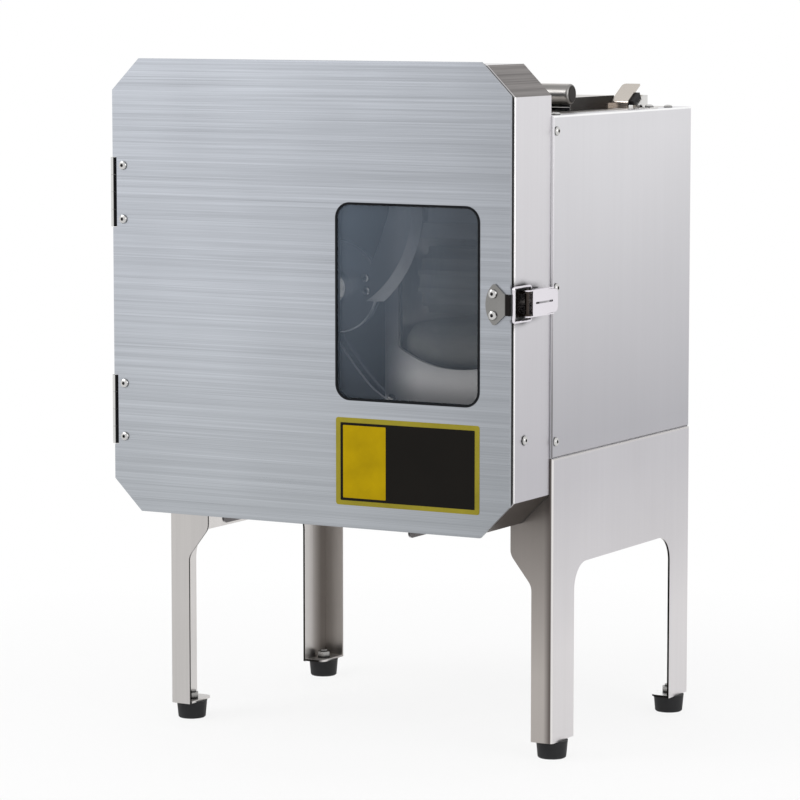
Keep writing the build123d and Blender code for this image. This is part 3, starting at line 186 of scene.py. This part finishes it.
def blend(tree, factor, first, second):
    """First where the factor is 0, second where it is 1; each a colour or a socket."""
    node = add(tree, "ShaderNodeMix", data_type="RGBA")
    tree.links.new(factor, node.inputs[MIX_FACTOR])
    for socket, value in ((node.inputs[MIX_FIRST], first), (node.inputs[MIX_SECOND], second)):
        if isinstance(value, tuple):
            socket.default_value = value
        else:
            tree.links.new(value, socket)
    return node.outputs[MIX_RESULT]


def facing(tree, direction, start, end):
    """0 to 1 as the surface turns towards a direction of its own piece."""
    dot = add(tree, "ShaderNodeVectorMath", operation="DOT_PRODUCT")
    tree.links.new(place_on_piece(tree, "Normal"), dot.inputs[0])
    dot.inputs[1].default_value = Vector(direction).normalized()
    return remap(tree, dot.outputs["Value"], 0.0, 1.0, start, end)


def along(tree, axis, start, end):
    """0 to 1 along one axis of the piece, between two places in metres."""
    parts = add(tree, "ShaderNodeSeparateXYZ")
    tree.links.new(place_on_piece(tree, "Object"), parts.inputs[0])
    return remap(tree, parts.outputs[axis], 0.0, 1.0, start, end)


def graded(tree, tone):
    """A plain colour as it is, or a two-colour mix: by height for painted light and shade, or in streaks.
    """
    if isinstance(tone, tuple):
        return tone
    if "grain" in tone:
        share = remap(tree, brushing(tree, 9.0, tone["grain"]), 0.0, 1.0)
    else:
        share = along(tree, "Z", *tone["heights"])
    return blend(tree, share, tone["low"], tone["high"])


def with_painted_light(tree, base, painted_tones):
    """The colour with painted light and shade laid over it, one tone after another, each for faces turned
    one way and in given places.
    """
    for direction, sets_in, tone, places in painted_tones:
        share = facing(tree, direction, *sets_in)
        for place in places:
            share = multiply(tree, share, along(tree, *place))
        base = blend(tree, share, base, graded(tree, tone))
    return base


# The shade of a hollow, and the openness to light at which it starts and is full
HOLLOW_SHADE = (0.012, 0.012, 0.012, 1.0)
HOLLOW_START = 0.93
HOLLOW_FULL = 0.6


def shaded_hollows(tree, base, reach):
    """Darkens narrow hollows such as a screw's socket and the foot of its head."""
    node = add(tree, "ShaderNodeAmbientOcclusion", samples=16)
    node.inputs["Distance"].default_value = reach
    depth = remap(tree, node.outputs["AO"], 1.0, 0.0, HOLLOW_FULL, HOLLOW_START)
    return blend(tree, depth, base, HOLLOW_SHADE)


def bumped(tree, shader, height, strength, distance):
    node = add(tree, "ShaderNodeBump")
    node.inputs["Strength"].default_value = strength
    node.inputs["Distance"].default_value = distance
    tree.links.new(height, node.inputs["Height"])
    tree.links.new(node.outputs["Normal"], shader.inputs["Normal"])


# Materials
def steel(
    name, base, rough, grain, streaks, broad, bump, fine=9.0, painted_tones=(), shaded_across=None, metal=1.0, hollow=0.0
):
    """Brushed stainless sheet: long fine scratches, wider streaks and soft cloudy patches.

    Streaks and broad are the strengths of the streaks and the patches, and fine is how close
    the scratches lie. The tones are painted light and shade laid on by the way faces turn.
    The shading across a piece is a place and the share of the colour left beyond it, a painted
    shade, and hollow the reach in metres of the painted shade in narrow corners.
    """
    material, tree, shader = new_material(name)
    scratches = brushing(tree, fine, grain)
    bands = noise(tree, fine * 0.23, detail=2.0, rough=0.5, stretch=GRAINS[grain])
    clouds = noise(tree, 5.0, detail=3.0, rough=0.5)
    factor = multiply(
        tree,
        remap(tree, scratches, 1 - streaks, 1 + streaks),
        remap(tree, bands, 1 - streaks * 0.6, 1 + streaks * 0.6),
        remap(tree, clouds, 1 - broad, 1 + broad),
    )
    if shaded_across:
        place, least = shaded_across
        factor = multiply(tree, factor, rescale(tree, along(tree, *place), 1.0, least))
    surface = with_painted_light(tree, graded(tree, base), painted_tones)
    surface = tint(tree, surface, factor)
    if hollow:
        surface = shaded_hollows(tree, surface, hollow)
    tree.links.new(surface, shader.inputs["Base Color"])
    shader.inputs["Metallic"].default_value = metal
    spread = min(0.05, streaks * 0.6)
    roughness = combine(
        tree,
        "ADD",
        remap(tree, scratches, rough - spread, rough + spread),
        remap(tree, clouds, -spread * 0.6, spread * 0.6),
    )
    tree.links.new(roughness, shader.inputs["Roughness"])
    bumped(tree, shader, scratches, bump, 0.0002)
    return material


def polished(name, base, rough, scratch=60.0, broad=0.04, painted_tones=(), hollow=0.0, shaded_band=None):
    """Polished metal with faint handling marks.

    The tones are painted light and shade by the way faces turn, and the band is a place and the painted
    shade from there on.
    """
    material, tree, shader = new_material(name)
    marks = noise(tree, scratch, detail=6.0, rough=0.7, stretch=(1, 1, 3), distortion=0.6)
    clouds = noise(tree, 14.0, detail=3.0, rough=0.5)
    surface = tint(tree, base, remap(tree, clouds, 1 - broad, 1 + broad))
    surface = with_painted_light(tree, surface, painted_tones)
    if shaded_band:
        place, tone = shaded_band
        surface = blend(tree, along(tree, *place), surface, tone)
    if hollow:
        surface = shaded_hollows(tree, surface, hollow)
    tree.links.new(surface, shader.inputs["Base Color"])
    shader.inputs["Metallic"].default_value = 1.0
    tree.links.new(remap(tree, marks, rough - 0.04, rough + 0.07), shader.inputs["Roughness"])
    bumped(tree, shader, marks, 0.05, 0.0002)
    return material


def cast(name, base, rough, metal=1.0, grain=380.0, bump=0.4):
    """A cast, painted or plated surface with a fine even tooth."""
    material, tree, shader = new_material(name)
    tooth = noise(tree, grain, detail=3.0, rough=0.6)
    clouds = noise(tree, 18.0, detail=4.0, rough=0.55)
    tree.links.new(tint(tree, base, remap(tree, clouds, 0.9, 1.08)), shader.inputs["Base Color"])
    shader.inputs["Metallic"].default_value = metal
    tree.links.new(remap(tree, tooth, rough - 0.06, rough + 0.08), shader.inputs["Roughness"])
    bumped(tree, shader, tooth, bump, 0.0003)
    return material


def plastic(name, base, rough, grain=700.0, bump=0.15, gloss=0.5):
    """Moulded plastic or rubber with a light texture and dulled patches."""
    material, tree, shader = new_material(name)
    texture = noise(tree, grain, detail=2.0, rough=0.5)
    patches = noise(tree, 30.0, detail=4.0, rough=0.6)
    tree.links.new(tint(tree, base, remap(tree, patches, 0.86, 1.12)), shader.inputs["Base Color"])
    tree.links.new(remap(tree, patches, rough - 0.05, rough + 0.08), shader.inputs["Roughness"])
    shader.inputs["Specular IOR Level"].default_value = gloss
    bumped(tree, shader, texture, bump, 0.0003)
    return material


def smoked_sheet(name):
    """The window's dark clear sheet, with wiped smears.

    Its colour is lighter to the left and the top as a painted reflection, and it is clearer at the foot.
    """
    material, tree, shader = new_material(name)
    low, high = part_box("window_pane")
    middle = (low.x + high.x) / 2
    height = high.z - low.z
    smears = noise(tree, 9.0, detail=4.0, rough=0.6, stretch=(1, 1, 3), distortion=0.8)
    # Painted reflection: the colour lighter to the left and towards the top, times the smears
    reflection_across = rescale(tree, along(tree, "X", low.x + 0.01, high.x - 0.02), 2.7, 0.95)
    reflection_upwards = rescale(tree, along(tree, "Z", low.z + 0.3 * height, high.z), 0.75, 1.15)
    reflection_and_smears = multiply(tree, reflection_across, reflection_upwards, remap(tree, smears, 0.93, 1.08))
    tree.links.new(tint(tree, (0.052, 0.068, 0.090), reflection_and_smears), shader.inputs["Base Color"])
    tree.links.new(remap(tree, smears, 0.02, 0.07), shader.inputs["Roughness"])
    least = 0.18
    rise = along(tree, "Z", low.z + 0.05 * height, low.z + 0.36 * height)
    added = rescale(tree, along(tree, "X", middle - 0.01, middle + 0.035), 0.18, 0.45)
    opacity = combine(tree, "ADD", multiply(tree, rise, added), least)
    tree.links.new(opacity, shader.inputs["Alpha"])
    return material


# Where the painted light and shade set in on the pieces, in metres
KEEPER_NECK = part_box("latch_keeper")[1].x - 0.0065
STAND_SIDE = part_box("stand_frame_right")[1].x
STAND_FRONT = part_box("stand_frame_left")[0].y
STAND_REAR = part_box("stand_frame_left")[1].y
STAND_MIDDLE = (STAND_FRONT + STAND_REAR) / 2
LIP_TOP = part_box("chamber_shell")[0].z + 0.011
SHEAR_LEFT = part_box("shear_plate")[0].x
SHEAR_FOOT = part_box("shear_plate")[0].z

REAR_LEGS = between("Y", STAND_MIDDLE, STAND_MIDDLE + 0.01)
OUTLET_LIPS = between("Z", LIP_TOP, LIP_TOP - 0.002)

# Directions that faces turn to
RIGHT = (1, 0, 0)
TO_FRONT = (0, -1, 0)
UPWARD = (0, 0, 1)
UP_RIGHT = (1, 0, 1)
DOWN_RIGHT = (1, 0, -1)
BEND = (1, -1, 0)
HINGE_SHADE = (0.875, 0.485, 0)

# Every look takes its colours from the photograph
looks = {
    # Painted light: the door is lighter towards the top, with painted shade towards its right side
    "door": steel(
        "door_steel",
        height_shading(colour(173, 177, 182), colour(182, 186, 193), 0.23, 0.45),
        rough=0.33,
        grain="long",
        streaks=0.13,
        broad=0.03,
        bump=0.3,
        fine=27.0,
        shaded_across=(between("X", MIDDLE - 0.08, MIDDLE + 0.2), 0.76),
    ),
    # Painted light: lighter towards the top, painted shade on the bends, painted highlights on the upper
    # edges
    "panel": steel(
        "panel_steel",
        height_shading(colour(175, 174, 179), colour(215, 214, 217), 0.3, 0.58),
        rough=0.36,
        grain="z",
        streaks=0.012,
        broad=0.02,
        bump=0.05,
        fine=10.0,
        painted_tones=(
            painted_on_faces(BEND, (0.93, 0.985), height_shading(colour(112, 110, 112), colour(176, 174, 177), 0.34, 0.48)),
            painted_on_faces(UP_RIGHT, (0.86, 0.97), colour(250, 250, 250)),
        ),
    ),
    "fold": steel(
        "folded_steel", colour(200, 198, 196), rough=0.36, grain="z", streaks=0.04, broad=0.05, bump=0.1
    ),
    # Painted light: right side lighter towards the top, painted highlights on the front bends, painted
    # dark
    # reflection streaks on the upper chamfers, painted shade on the lower chamfers and outlet lips
    "casing": steel(
        "casing_steel",
        colour(206, 204, 205),
        rough=0.30,
        grain="z",
        streaks=0.014,
        broad=0.02,
        bump=0.06,
        painted_tones=(
            painted_on_faces(RIGHT, (0.75, 1.0), height_shading(colour(186, 184, 189), colour(215, 213, 216), 0.28, 0.58)),
            painted_on_faces(BEND, (0.9, 0.97), colour(250, 248, 249)),
            painted_on_faces(UP_RIGHT, (0.86, 0.97), streaked(colour(82, 77, 75), colour(134, 129, 127), "y")),
            painted_on_faces(DOWN_RIGHT, (0.86, 0.97), colour(86, 77, 72)),
            painted_on_faces(TO_FRONT, (0.5, 0.9), colour(70, 68, 69), OUTLET_LIPS),
            painted_on_faces(RIGHT, (0.5, 0.9), colour(104, 101, 102), OUTLET_LIPS),
        ),
        hollow=0.010,
    ),
    # Painted light: side lighter towards the foot, front painted shade under the casing, a painted shade
    # strip
    # by the bend, painted highlights on the bend and top edge, rear legs' fronts painted dark as shade
    "right_stand": steel(
        "right_stand_steel",
        colour(206, 203, 201),
        rough=0.32,
        grain="z",
        streaks=0.016,
        broad=0.04,
        bump=0.08,
        painted_tones=(
            painted_on_faces(RIGHT, (0.7, 1.0), height_shading(colour(212, 209, 210), colour(192, 190, 194), 0.1, 0.26)),
            painted_on_faces(TO_FRONT, (0.5, 0.9), height_shading(colour(172, 166, 162), colour(116, 111, 107), 0.08, 0.24)),
            painted_on_faces(
                TO_FRONT,
                (0.5, 0.9),
                colour(98, 92, 89),
                between("X", STAND_SIDE - 0.009, STAND_SIDE - 0.003),
            ),
            painted_on_faces(BEND, (0.93, 0.99), colour(222, 219, 218)),
            painted_on_faces(TO_FRONT, (0.3, 0.8), colour(24, 22, 21), REAR_LEGS),
            painted_on_faces(UPWARD, (0.8, 0.95), colour(250, 250, 250)),
        ),
    ),
    # Painted light: inner side painted shade towards the rear corner, a dark painted shade strip at the
    # front edge,
    # rear legs' fronts painted dark as shade, with painted light at the rear flange
    "left_stand": steel(
        "left_stand_steel",
        colour(192, 189, 187),
        rough=0.32,
        grain="z",
        streaks=0.03,
        broad=0.04,
        bump=0.08,
        painted_tones=(
            painted_on_faces(RIGHT, (0.6, 0.95), colour(150, 145, 141)),
            painted_on_faces(
                RIGHT,
                (0.6, 0.95),
                colour(212, 209, 207),
                between("Y", STAND_REAR - 0.012, STAND_REAR - 0.03),
            ),
            painted_on_faces(
                RIGHT,
                (0.6, 0.95),
                colour(40, 37, 36),
                between("Y", STAND_FRONT + 0.0045, STAND_FRONT + 0.0035),
            ),
            painted_on_faces(TO_FRONT, (0.6, 0.95), colour(30, 28, 27), REAR_LEGS),
            painted_on_faces(
                TO_FRONT,
                (0.6, 0.95),
                colour(166, 161, 157),
                between("Y", STAND_REAR - 0.012, STAND_REAR - 0.008),
            ),
        ),
    ),
    # Painted shade: the back wall's steel is darker than the rest, with painted light on its front at the
    # foot by the shear plate
    "inside": steel(
        "chamber_steel",
        colour(120, 125, 134),
        rough=0.2,
        grain="x",
        streaks=0.03,
        broad=0.04,
        bump=0.02,
        painted_tones=(
            painted_on_faces(
                TO_FRONT,
                (0.5, 0.9),
                colour(250, 247, 247),
                between("X", SHEAR_LEFT, SHEAR_LEFT + 0.06),
                between("Z", SHEAR_FOOT + 0.01, SHEAR_FOOT),
            ),
        ),
    ),
    # Painted light: the shear plate bright towards the foot, with painted shade on its front towards the
    # left
    "mouth": steel(
        "mouth_steel",
        height_shading(colour(252, 250, 250), colour(150, 152, 158), 0.36, 0.42),
        rough=0.3,
        grain="z",
        streaks=0.01,
        broad=0.02,
        bump=0.002,
        fine=3.0,
        painted_tones=(
            painted_on_faces(
                TO_FRONT,
                (0.5, 0.9),
                colour(128, 132, 142),
                between("X", SHEAR_LEFT + 0.035, SHEAR_LEFT - 0.01),
            ),
        ),
        metal=0.6,
    ),
    # Painted light: a painted highlight on the knife lighter towards the foot, its front flats painted
    # darker
    "ground": steel(
        "ground_steel",
        height_shading(colour(240, 241, 244), colour(138, 140, 147), 0.40, 0.50),
        rough=0.3,
        grain="x",
        streaks=0.01,
        broad=0.02,
        bump=0.002,
        fine=3.0,
        painted_tones=(painted_on_faces(TO_FRONT, (0.96, 0.995), colour(146, 150, 158)),),
        metal=0.6,
    ),
    # Painted light: faces turned right painted near black as shade, a painted highlight on faces turned
    # up
    "lid": polished(
        "lid_steel",
        colour(136, 134, 132),
        rough=0.3,
        painted_tones=(
            painted_on_faces(RIGHT, (0.75, 0.98), colour(26, 21, 18)),
            painted_on_faces(UPWARD, (0.8, 0.98), colour(190, 186, 182)),
        ),
    ),
    # Painted highlight on the tab's front faces
    "champagne": polished(
        "tab_steel",
        colour(196, 189, 181),
        rough=0.24,
        painted_tones=(painted_on_faces(TO_FRONT, (0.85, 0.99), colour(212, 201, 192)),),
    ),
    "hinge": polished(
        "hinge_steel",
        colour(208, 208, 206),
        rough=0.22,
        painted_tones=(painted_on_faces(HINGE_SHADE, (-0.42, -0.28), colour(26, 26, 27)),),
    ),
    # Painted shade: the keeper's neck and lip dark past the neck
    "keeper": polished(
        "keeper_steel",
        colour(134, 133, 131),
        rough=0.3,
        scratch=200.0,
        broad=0.14,
        shaded_band=(between("X", KEEPER_NECK, KEEPER_NECK + 0.001), colour(34, 32, 31)),
    ),
    "bright": polished("bright_steel", colour(214, 213, 211), rough=0.16),
    # Painted shade: the latch base is near black as the shade inside the latch
    "catch_shade": polished("catch_steel", colour(58, 52, 49), rough=0.25),
    "lever": polished("lever_steel", colour(224, 220, 226), rough=0.2, hollow=0.003),
    "bolt": polished("bolt_steel", colour(158, 157, 155), rough=0.25, hollow=0.005),
    "screw": polished("screw_steel", colour(198, 197, 196), rough=0.2, hollow=0.005),
    "zinc": cast("zinc_steel", colour(170, 171, 168), rough=0.42),
    "aluminium": cast("cast_aluminium", colour(168, 171, 174), rough=0.45),
    "enamel": cast("motor_enamel", colour(70, 80, 88), rough=0.4, metal=0.0, grain=500.0, bump=0.3),
    "rubber": plastic("black_rubber", colour(22, 22, 24), rough=0.6, grain=600.0, bump=0.3, gloss=0.35),
    "seal": plastic("seal_rubber", colour(12, 14, 18), rough=0.7, grain=600.0, bump=0.2, gloss=0.15),
    "belt": plastic("belt_rubber", colour(226, 226, 219), rough=0.55, grain=900.0, bump=0.6),
    "white": plastic("white_plastic", colour(224, 225, 221), rough=0.42, grain=500.0, bump=0.1),
    "black": plastic("black_plastic", colour(36, 38, 41), rough=0.38),
    "red": plastic("red_plastic", colour(176, 30, 26), rough=0.25, grain=500.0, bump=0.05),
    "green": plastic("green_plastic", colour(40, 120, 62), rough=0.25, grain=500.0, bump=0.05),
    "yellow": plastic("yellow_film", colour(178, 149, 4), rough=0.5, grain=300.0, bump=0.03, gloss=0.06),
    "olive": plastic("olive_film", colour(152, 140, 44), rough=0.5, grain=300.0, bump=0.03, gloss=0.1),
    "dark_film": plastic("black_film", colour(15, 12, 8), rough=0.45, grain=300.0, bump=0.03, gloss=0.1),
    "window": smoked_sheet("smoked_sheet"),
}

# The look of each material slot, and of the nodes that differ from their slot
slot_look = {
    "brushed_steel": "panel",
    "folded_steel": "fold",
    "bright_steel": "bright",
    "ground_steel": "ground",
    "zinc_steel": "zinc",
    "cast_aluminium": "aluminium",
    "motor_paint": "enamel",
    "black_rubber": "rubber",
    "belt_rubber": "belt",
    "window_sheet": "window",
    "white_plastic": "white",
    "black_plastic": "black",
    "red_plastic": "red",
    "green_plastic": "green",
}
node_look = {
    "door_plate": "door",
    "chamber_shell": "casing",
    "chamber_back_wall": "inside",
    "shear_plate": "mouth",
    "window_seal": "seal",
    "foot_bolts": "bolt",
    "latch_lever": "lever",
    "latch_bail": "lever",
    "knife_spindle": "ground",
    "stand_frame_right": "right_stand",
    "stand_frame_left": "left_stand",
    "feed_lid": "lid",
    "channel_cover": "lid",
    "lid_tab": "champagne",
    "door_screws": "screw",
    "body_screws": "screw",
    "knife_screws": "screw",
    "latch_keeper": "keeper",
    "latch_base": "catch_shade",
    "door_hinge_leaves": "hinge",
    "chamber_hinge_leaves": "hinge",
}


def dress(obj, material):
    obj.data.materials.clear()
    obj.data.materials.append(material)


for name, obj in nodes.items():
    dress(obj, looks[node_look.get(name, slot_look[slots[name]])])


# Extra pieces
def piece(name, body, look, build):
    mesh = bpy.data.meshes.new(name)
    bm = bmesh.new()
    build(bm)
    bmesh.ops.recalc_face_normals(bm, faces=bm.faces)
    bm.to_mesh(mesh)
    bm.free()
    obj = bpy.data.objects.new(name, mesh)
    bpy.context.scene.collection.objects.link(obj)
    dress(obj, looks[look])
    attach(obj, body)


def rounded_outline(left, right, low, high, radius, steps=6):
    points = []
    corners = (
        (right - radius, high - radius, 0),
        (left + radius, high - radius, 90),
        (left + radius, low + radius, 180),
        (right - radius, low + radius, 270),
    )
    for x, z, start in corners:
        for step in range(steps + 1):
            angle = radians(start + 90 * step / steps)
            points.append((x + radius * cos(angle), z + radius * sin(angle)))
    return points


def film(left, right, low, high, radius, back, thickness):
    """A thin rounded plate on the door's front, its edge eased."""

    def build(bm):
        ease = thickness * 0.4
        outer = rounded_outline(left, right, low, high, radius)
        inner = rounded_outline(left + ease, right - ease, low + ease, high - ease, radius - ease)
        rings = ((outer, back), (outer, back - thickness + ease), (inner, back - thickness))
        rows = [[bm.verts.new(at(x, y, z)) for x, z in points] for points, y in rings]
        count = len(rows[0])
        for lower, upper in zip(rows, rows[1:]):
            for index in range(count):
                after = (index + 1) % count
                bm.faces.new((lower[index], lower[after], upper[after], upper[index]))
        bm.faces.new(rows[0])
        bm.faces.new(rows[-1])

    return build


# A bare plate on the door: a border, a dark field and one yellow panel on it, in millimetres
PLATE_LAYERS = (
    (
        "door_plate_border",
        "olive",
        dict(left=32.0, right=182.5, low=239.8, high=321.4, radius=2.5, back=0, thickness=0.35),
    ),
    (
        "door_plate_field",
        "dark_film",
        dict(left=37.0, right=177.7, low=244.2, high=316.8, radius=0.8, back=-0.3, thickness=0.25),
    ),
    (
        "door_plate_panel",
        "yellow",
        dict(left=39.8, right=85.0, low=246.7, high=314.4, radius=0.8, back=-0.5, thickness=0.15),
    ),
)
for layer, look, shape in PLATE_LAYERS:
    piece(layer, "door", look, film(**shape))


def seen_directly(tree):
    """1 for what the eye, gloss and glass see, 0 for the light that falls on things."""
    path = add(tree, "ShaderNodeLightPath")
    shown = combine(tree, "ADD", path.outputs["Is Camera Ray"], path.outputs["Is Glossy Ray"])
    shown = combine(tree, "ADD", shown, path.outputs["Is Transmission Ray"])
    return combine(tree, "MINIMUM", shown, 1.0)


# Floor: pale, solid for light, and faded into the white surroundings for the eye
FLOOR_REACH = 3
FLOOR_COLOUR = (0.92, 0.92, 0.92)
FADE_START = 0.85
FADE_END = 1.0


def floor_material():
    material, tree, shader = new_material("floor_pale")
    grain = noise(tree, 40.0, detail=4.0, rough=0.6)
    pale = tint(tree, FLOOR_COLOUR, remap(tree, grain, 0.985, 1.0))
    tree.links.new(pale, shader.inputs["Base Color"])
    shader.inputs["Roughness"].default_value = 0.6
    shader.inputs["Specular IOR Level"].default_value = 0.2
    distance = add(tree, "ShaderNodeVectorMath", operation="LENGTH")
    tree.links.new(place_on_piece(tree, "Object"), distance.inputs[0])
    fade = remap(tree, distance.outputs["Value"], FADE_START, FADE_END, 0.25, 0.9)
    clear = add(tree, "ShaderNodeBsdfTransparent")
    mix = add(tree, "ShaderNodeMixShader")
    tree.links.new(multiply(tree, fade, seen_directly(tree)), mix.inputs["Fac"])
    tree.links.new(shader.outputs["BSDF"], mix.inputs[1])
    tree.links.new(clear.outputs["BSDF"], mix.inputs[2])
    tree.links.new(mix.outputs["Shader"], tree.nodes["Material Output"].inputs["Surface"])
    return material


floor_corners = [
    (-FLOOR_REACH, -FLOOR_REACH, 0),
    (FLOOR_REACH, -FLOOR_REACH, 0),
    (FLOOR_REACH, FLOOR_REACH, 0),
    (-FLOOR_REACH, FLOOR_REACH, 0),
]
floor_mesh = bpy.data.meshes.new("floor")
floor_mesh.from_pydata(floor_corners, [], [(0, 1, 2, 3)])
floor = bpy.data.objects.new("floor", floor_mesh)
bpy.context.scene.collection.objects.link(floor)
floor.data.materials.append(floor_material())

# World: white for the eye and for gloss, greyer for the light it gives
WORLD_LIGHT = 0.55
world = bpy.data.worlds.new("studio")
world.use_nodes = True
world_tree = world.node_tree
background = world_tree.nodes["Background"]
background.inputs["Color"].default_value = (1, 1, 1, 1)
strength = rescale(world_tree, seen_directly(world_tree), WORLD_LIGHT, 1.0)
world_tree.links.new(strength, background.inputs["Strength"])
bpy.context.scene.world = world


def area_lamp(name, place, target, size, power):
    lamp = bpy.data.lights.new(name, "AREA")
    lamp.shape = "RECTANGLE"
    lamp.size, lamp.size_y = size
    lamp.energy = power
    obj = bpy.data.objects.new(name, lamp)
    bpy.context.scene.collection.objects.link(obj)
    obj.location = place
    obj.rotation_euler = (Vector(target) - Vector(place)).to_track_quat("-Z", "Y").to_euler()


area_lamp("key_top_left", place=(-1.1, -1.3, 1.5), target=(0, -0.1, 0.45), size=(1.2, 0.8), power=16)
area_lamp("fill_right", place=(1.6, -0.4, 1.0), target=(0.1, 0, 0.35), size=(1.0, 1.2), power=8)

# Camera, solved from the photograph
YAW = radians(29.1477)
PITCH = radians(6.3849)
DISTANCE = 3.61056
AIM = at(-0.525, 180, 317.641)
SENSOR = 36
FOCAL_PIXELS = 3713.264
PICTURE_PIXELS = 800

camera_data = bpy.data.cameras.new("camera")
camera = bpy.data.objects.new("camera", camera_data)
bpy.context.scene.collection.objects.link(camera)
forward = Vector((-sin(YAW) * cos(PITCH), cos(YAW) * cos(PITCH), -sin(PITCH)))
right = forward.cross(Vector((0, 0, 1))).normalized()
up = right.cross(forward)
turn = Matrix((right, up, -forward)).transposed()
camera.matrix_world = Matrix.Translation(AIM - forward * DISTANCE) @ turn.to_4x4()
camera_data.sensor_width = SENSOR
camera_data.lens = SENSOR * FOCAL_PIXELS / PICTURE_PIXELS
camera_data.clip_end = 50
bpy.context.scene.camera = camera

bpy.context.scene.view_settings.view_transform = "Standard"
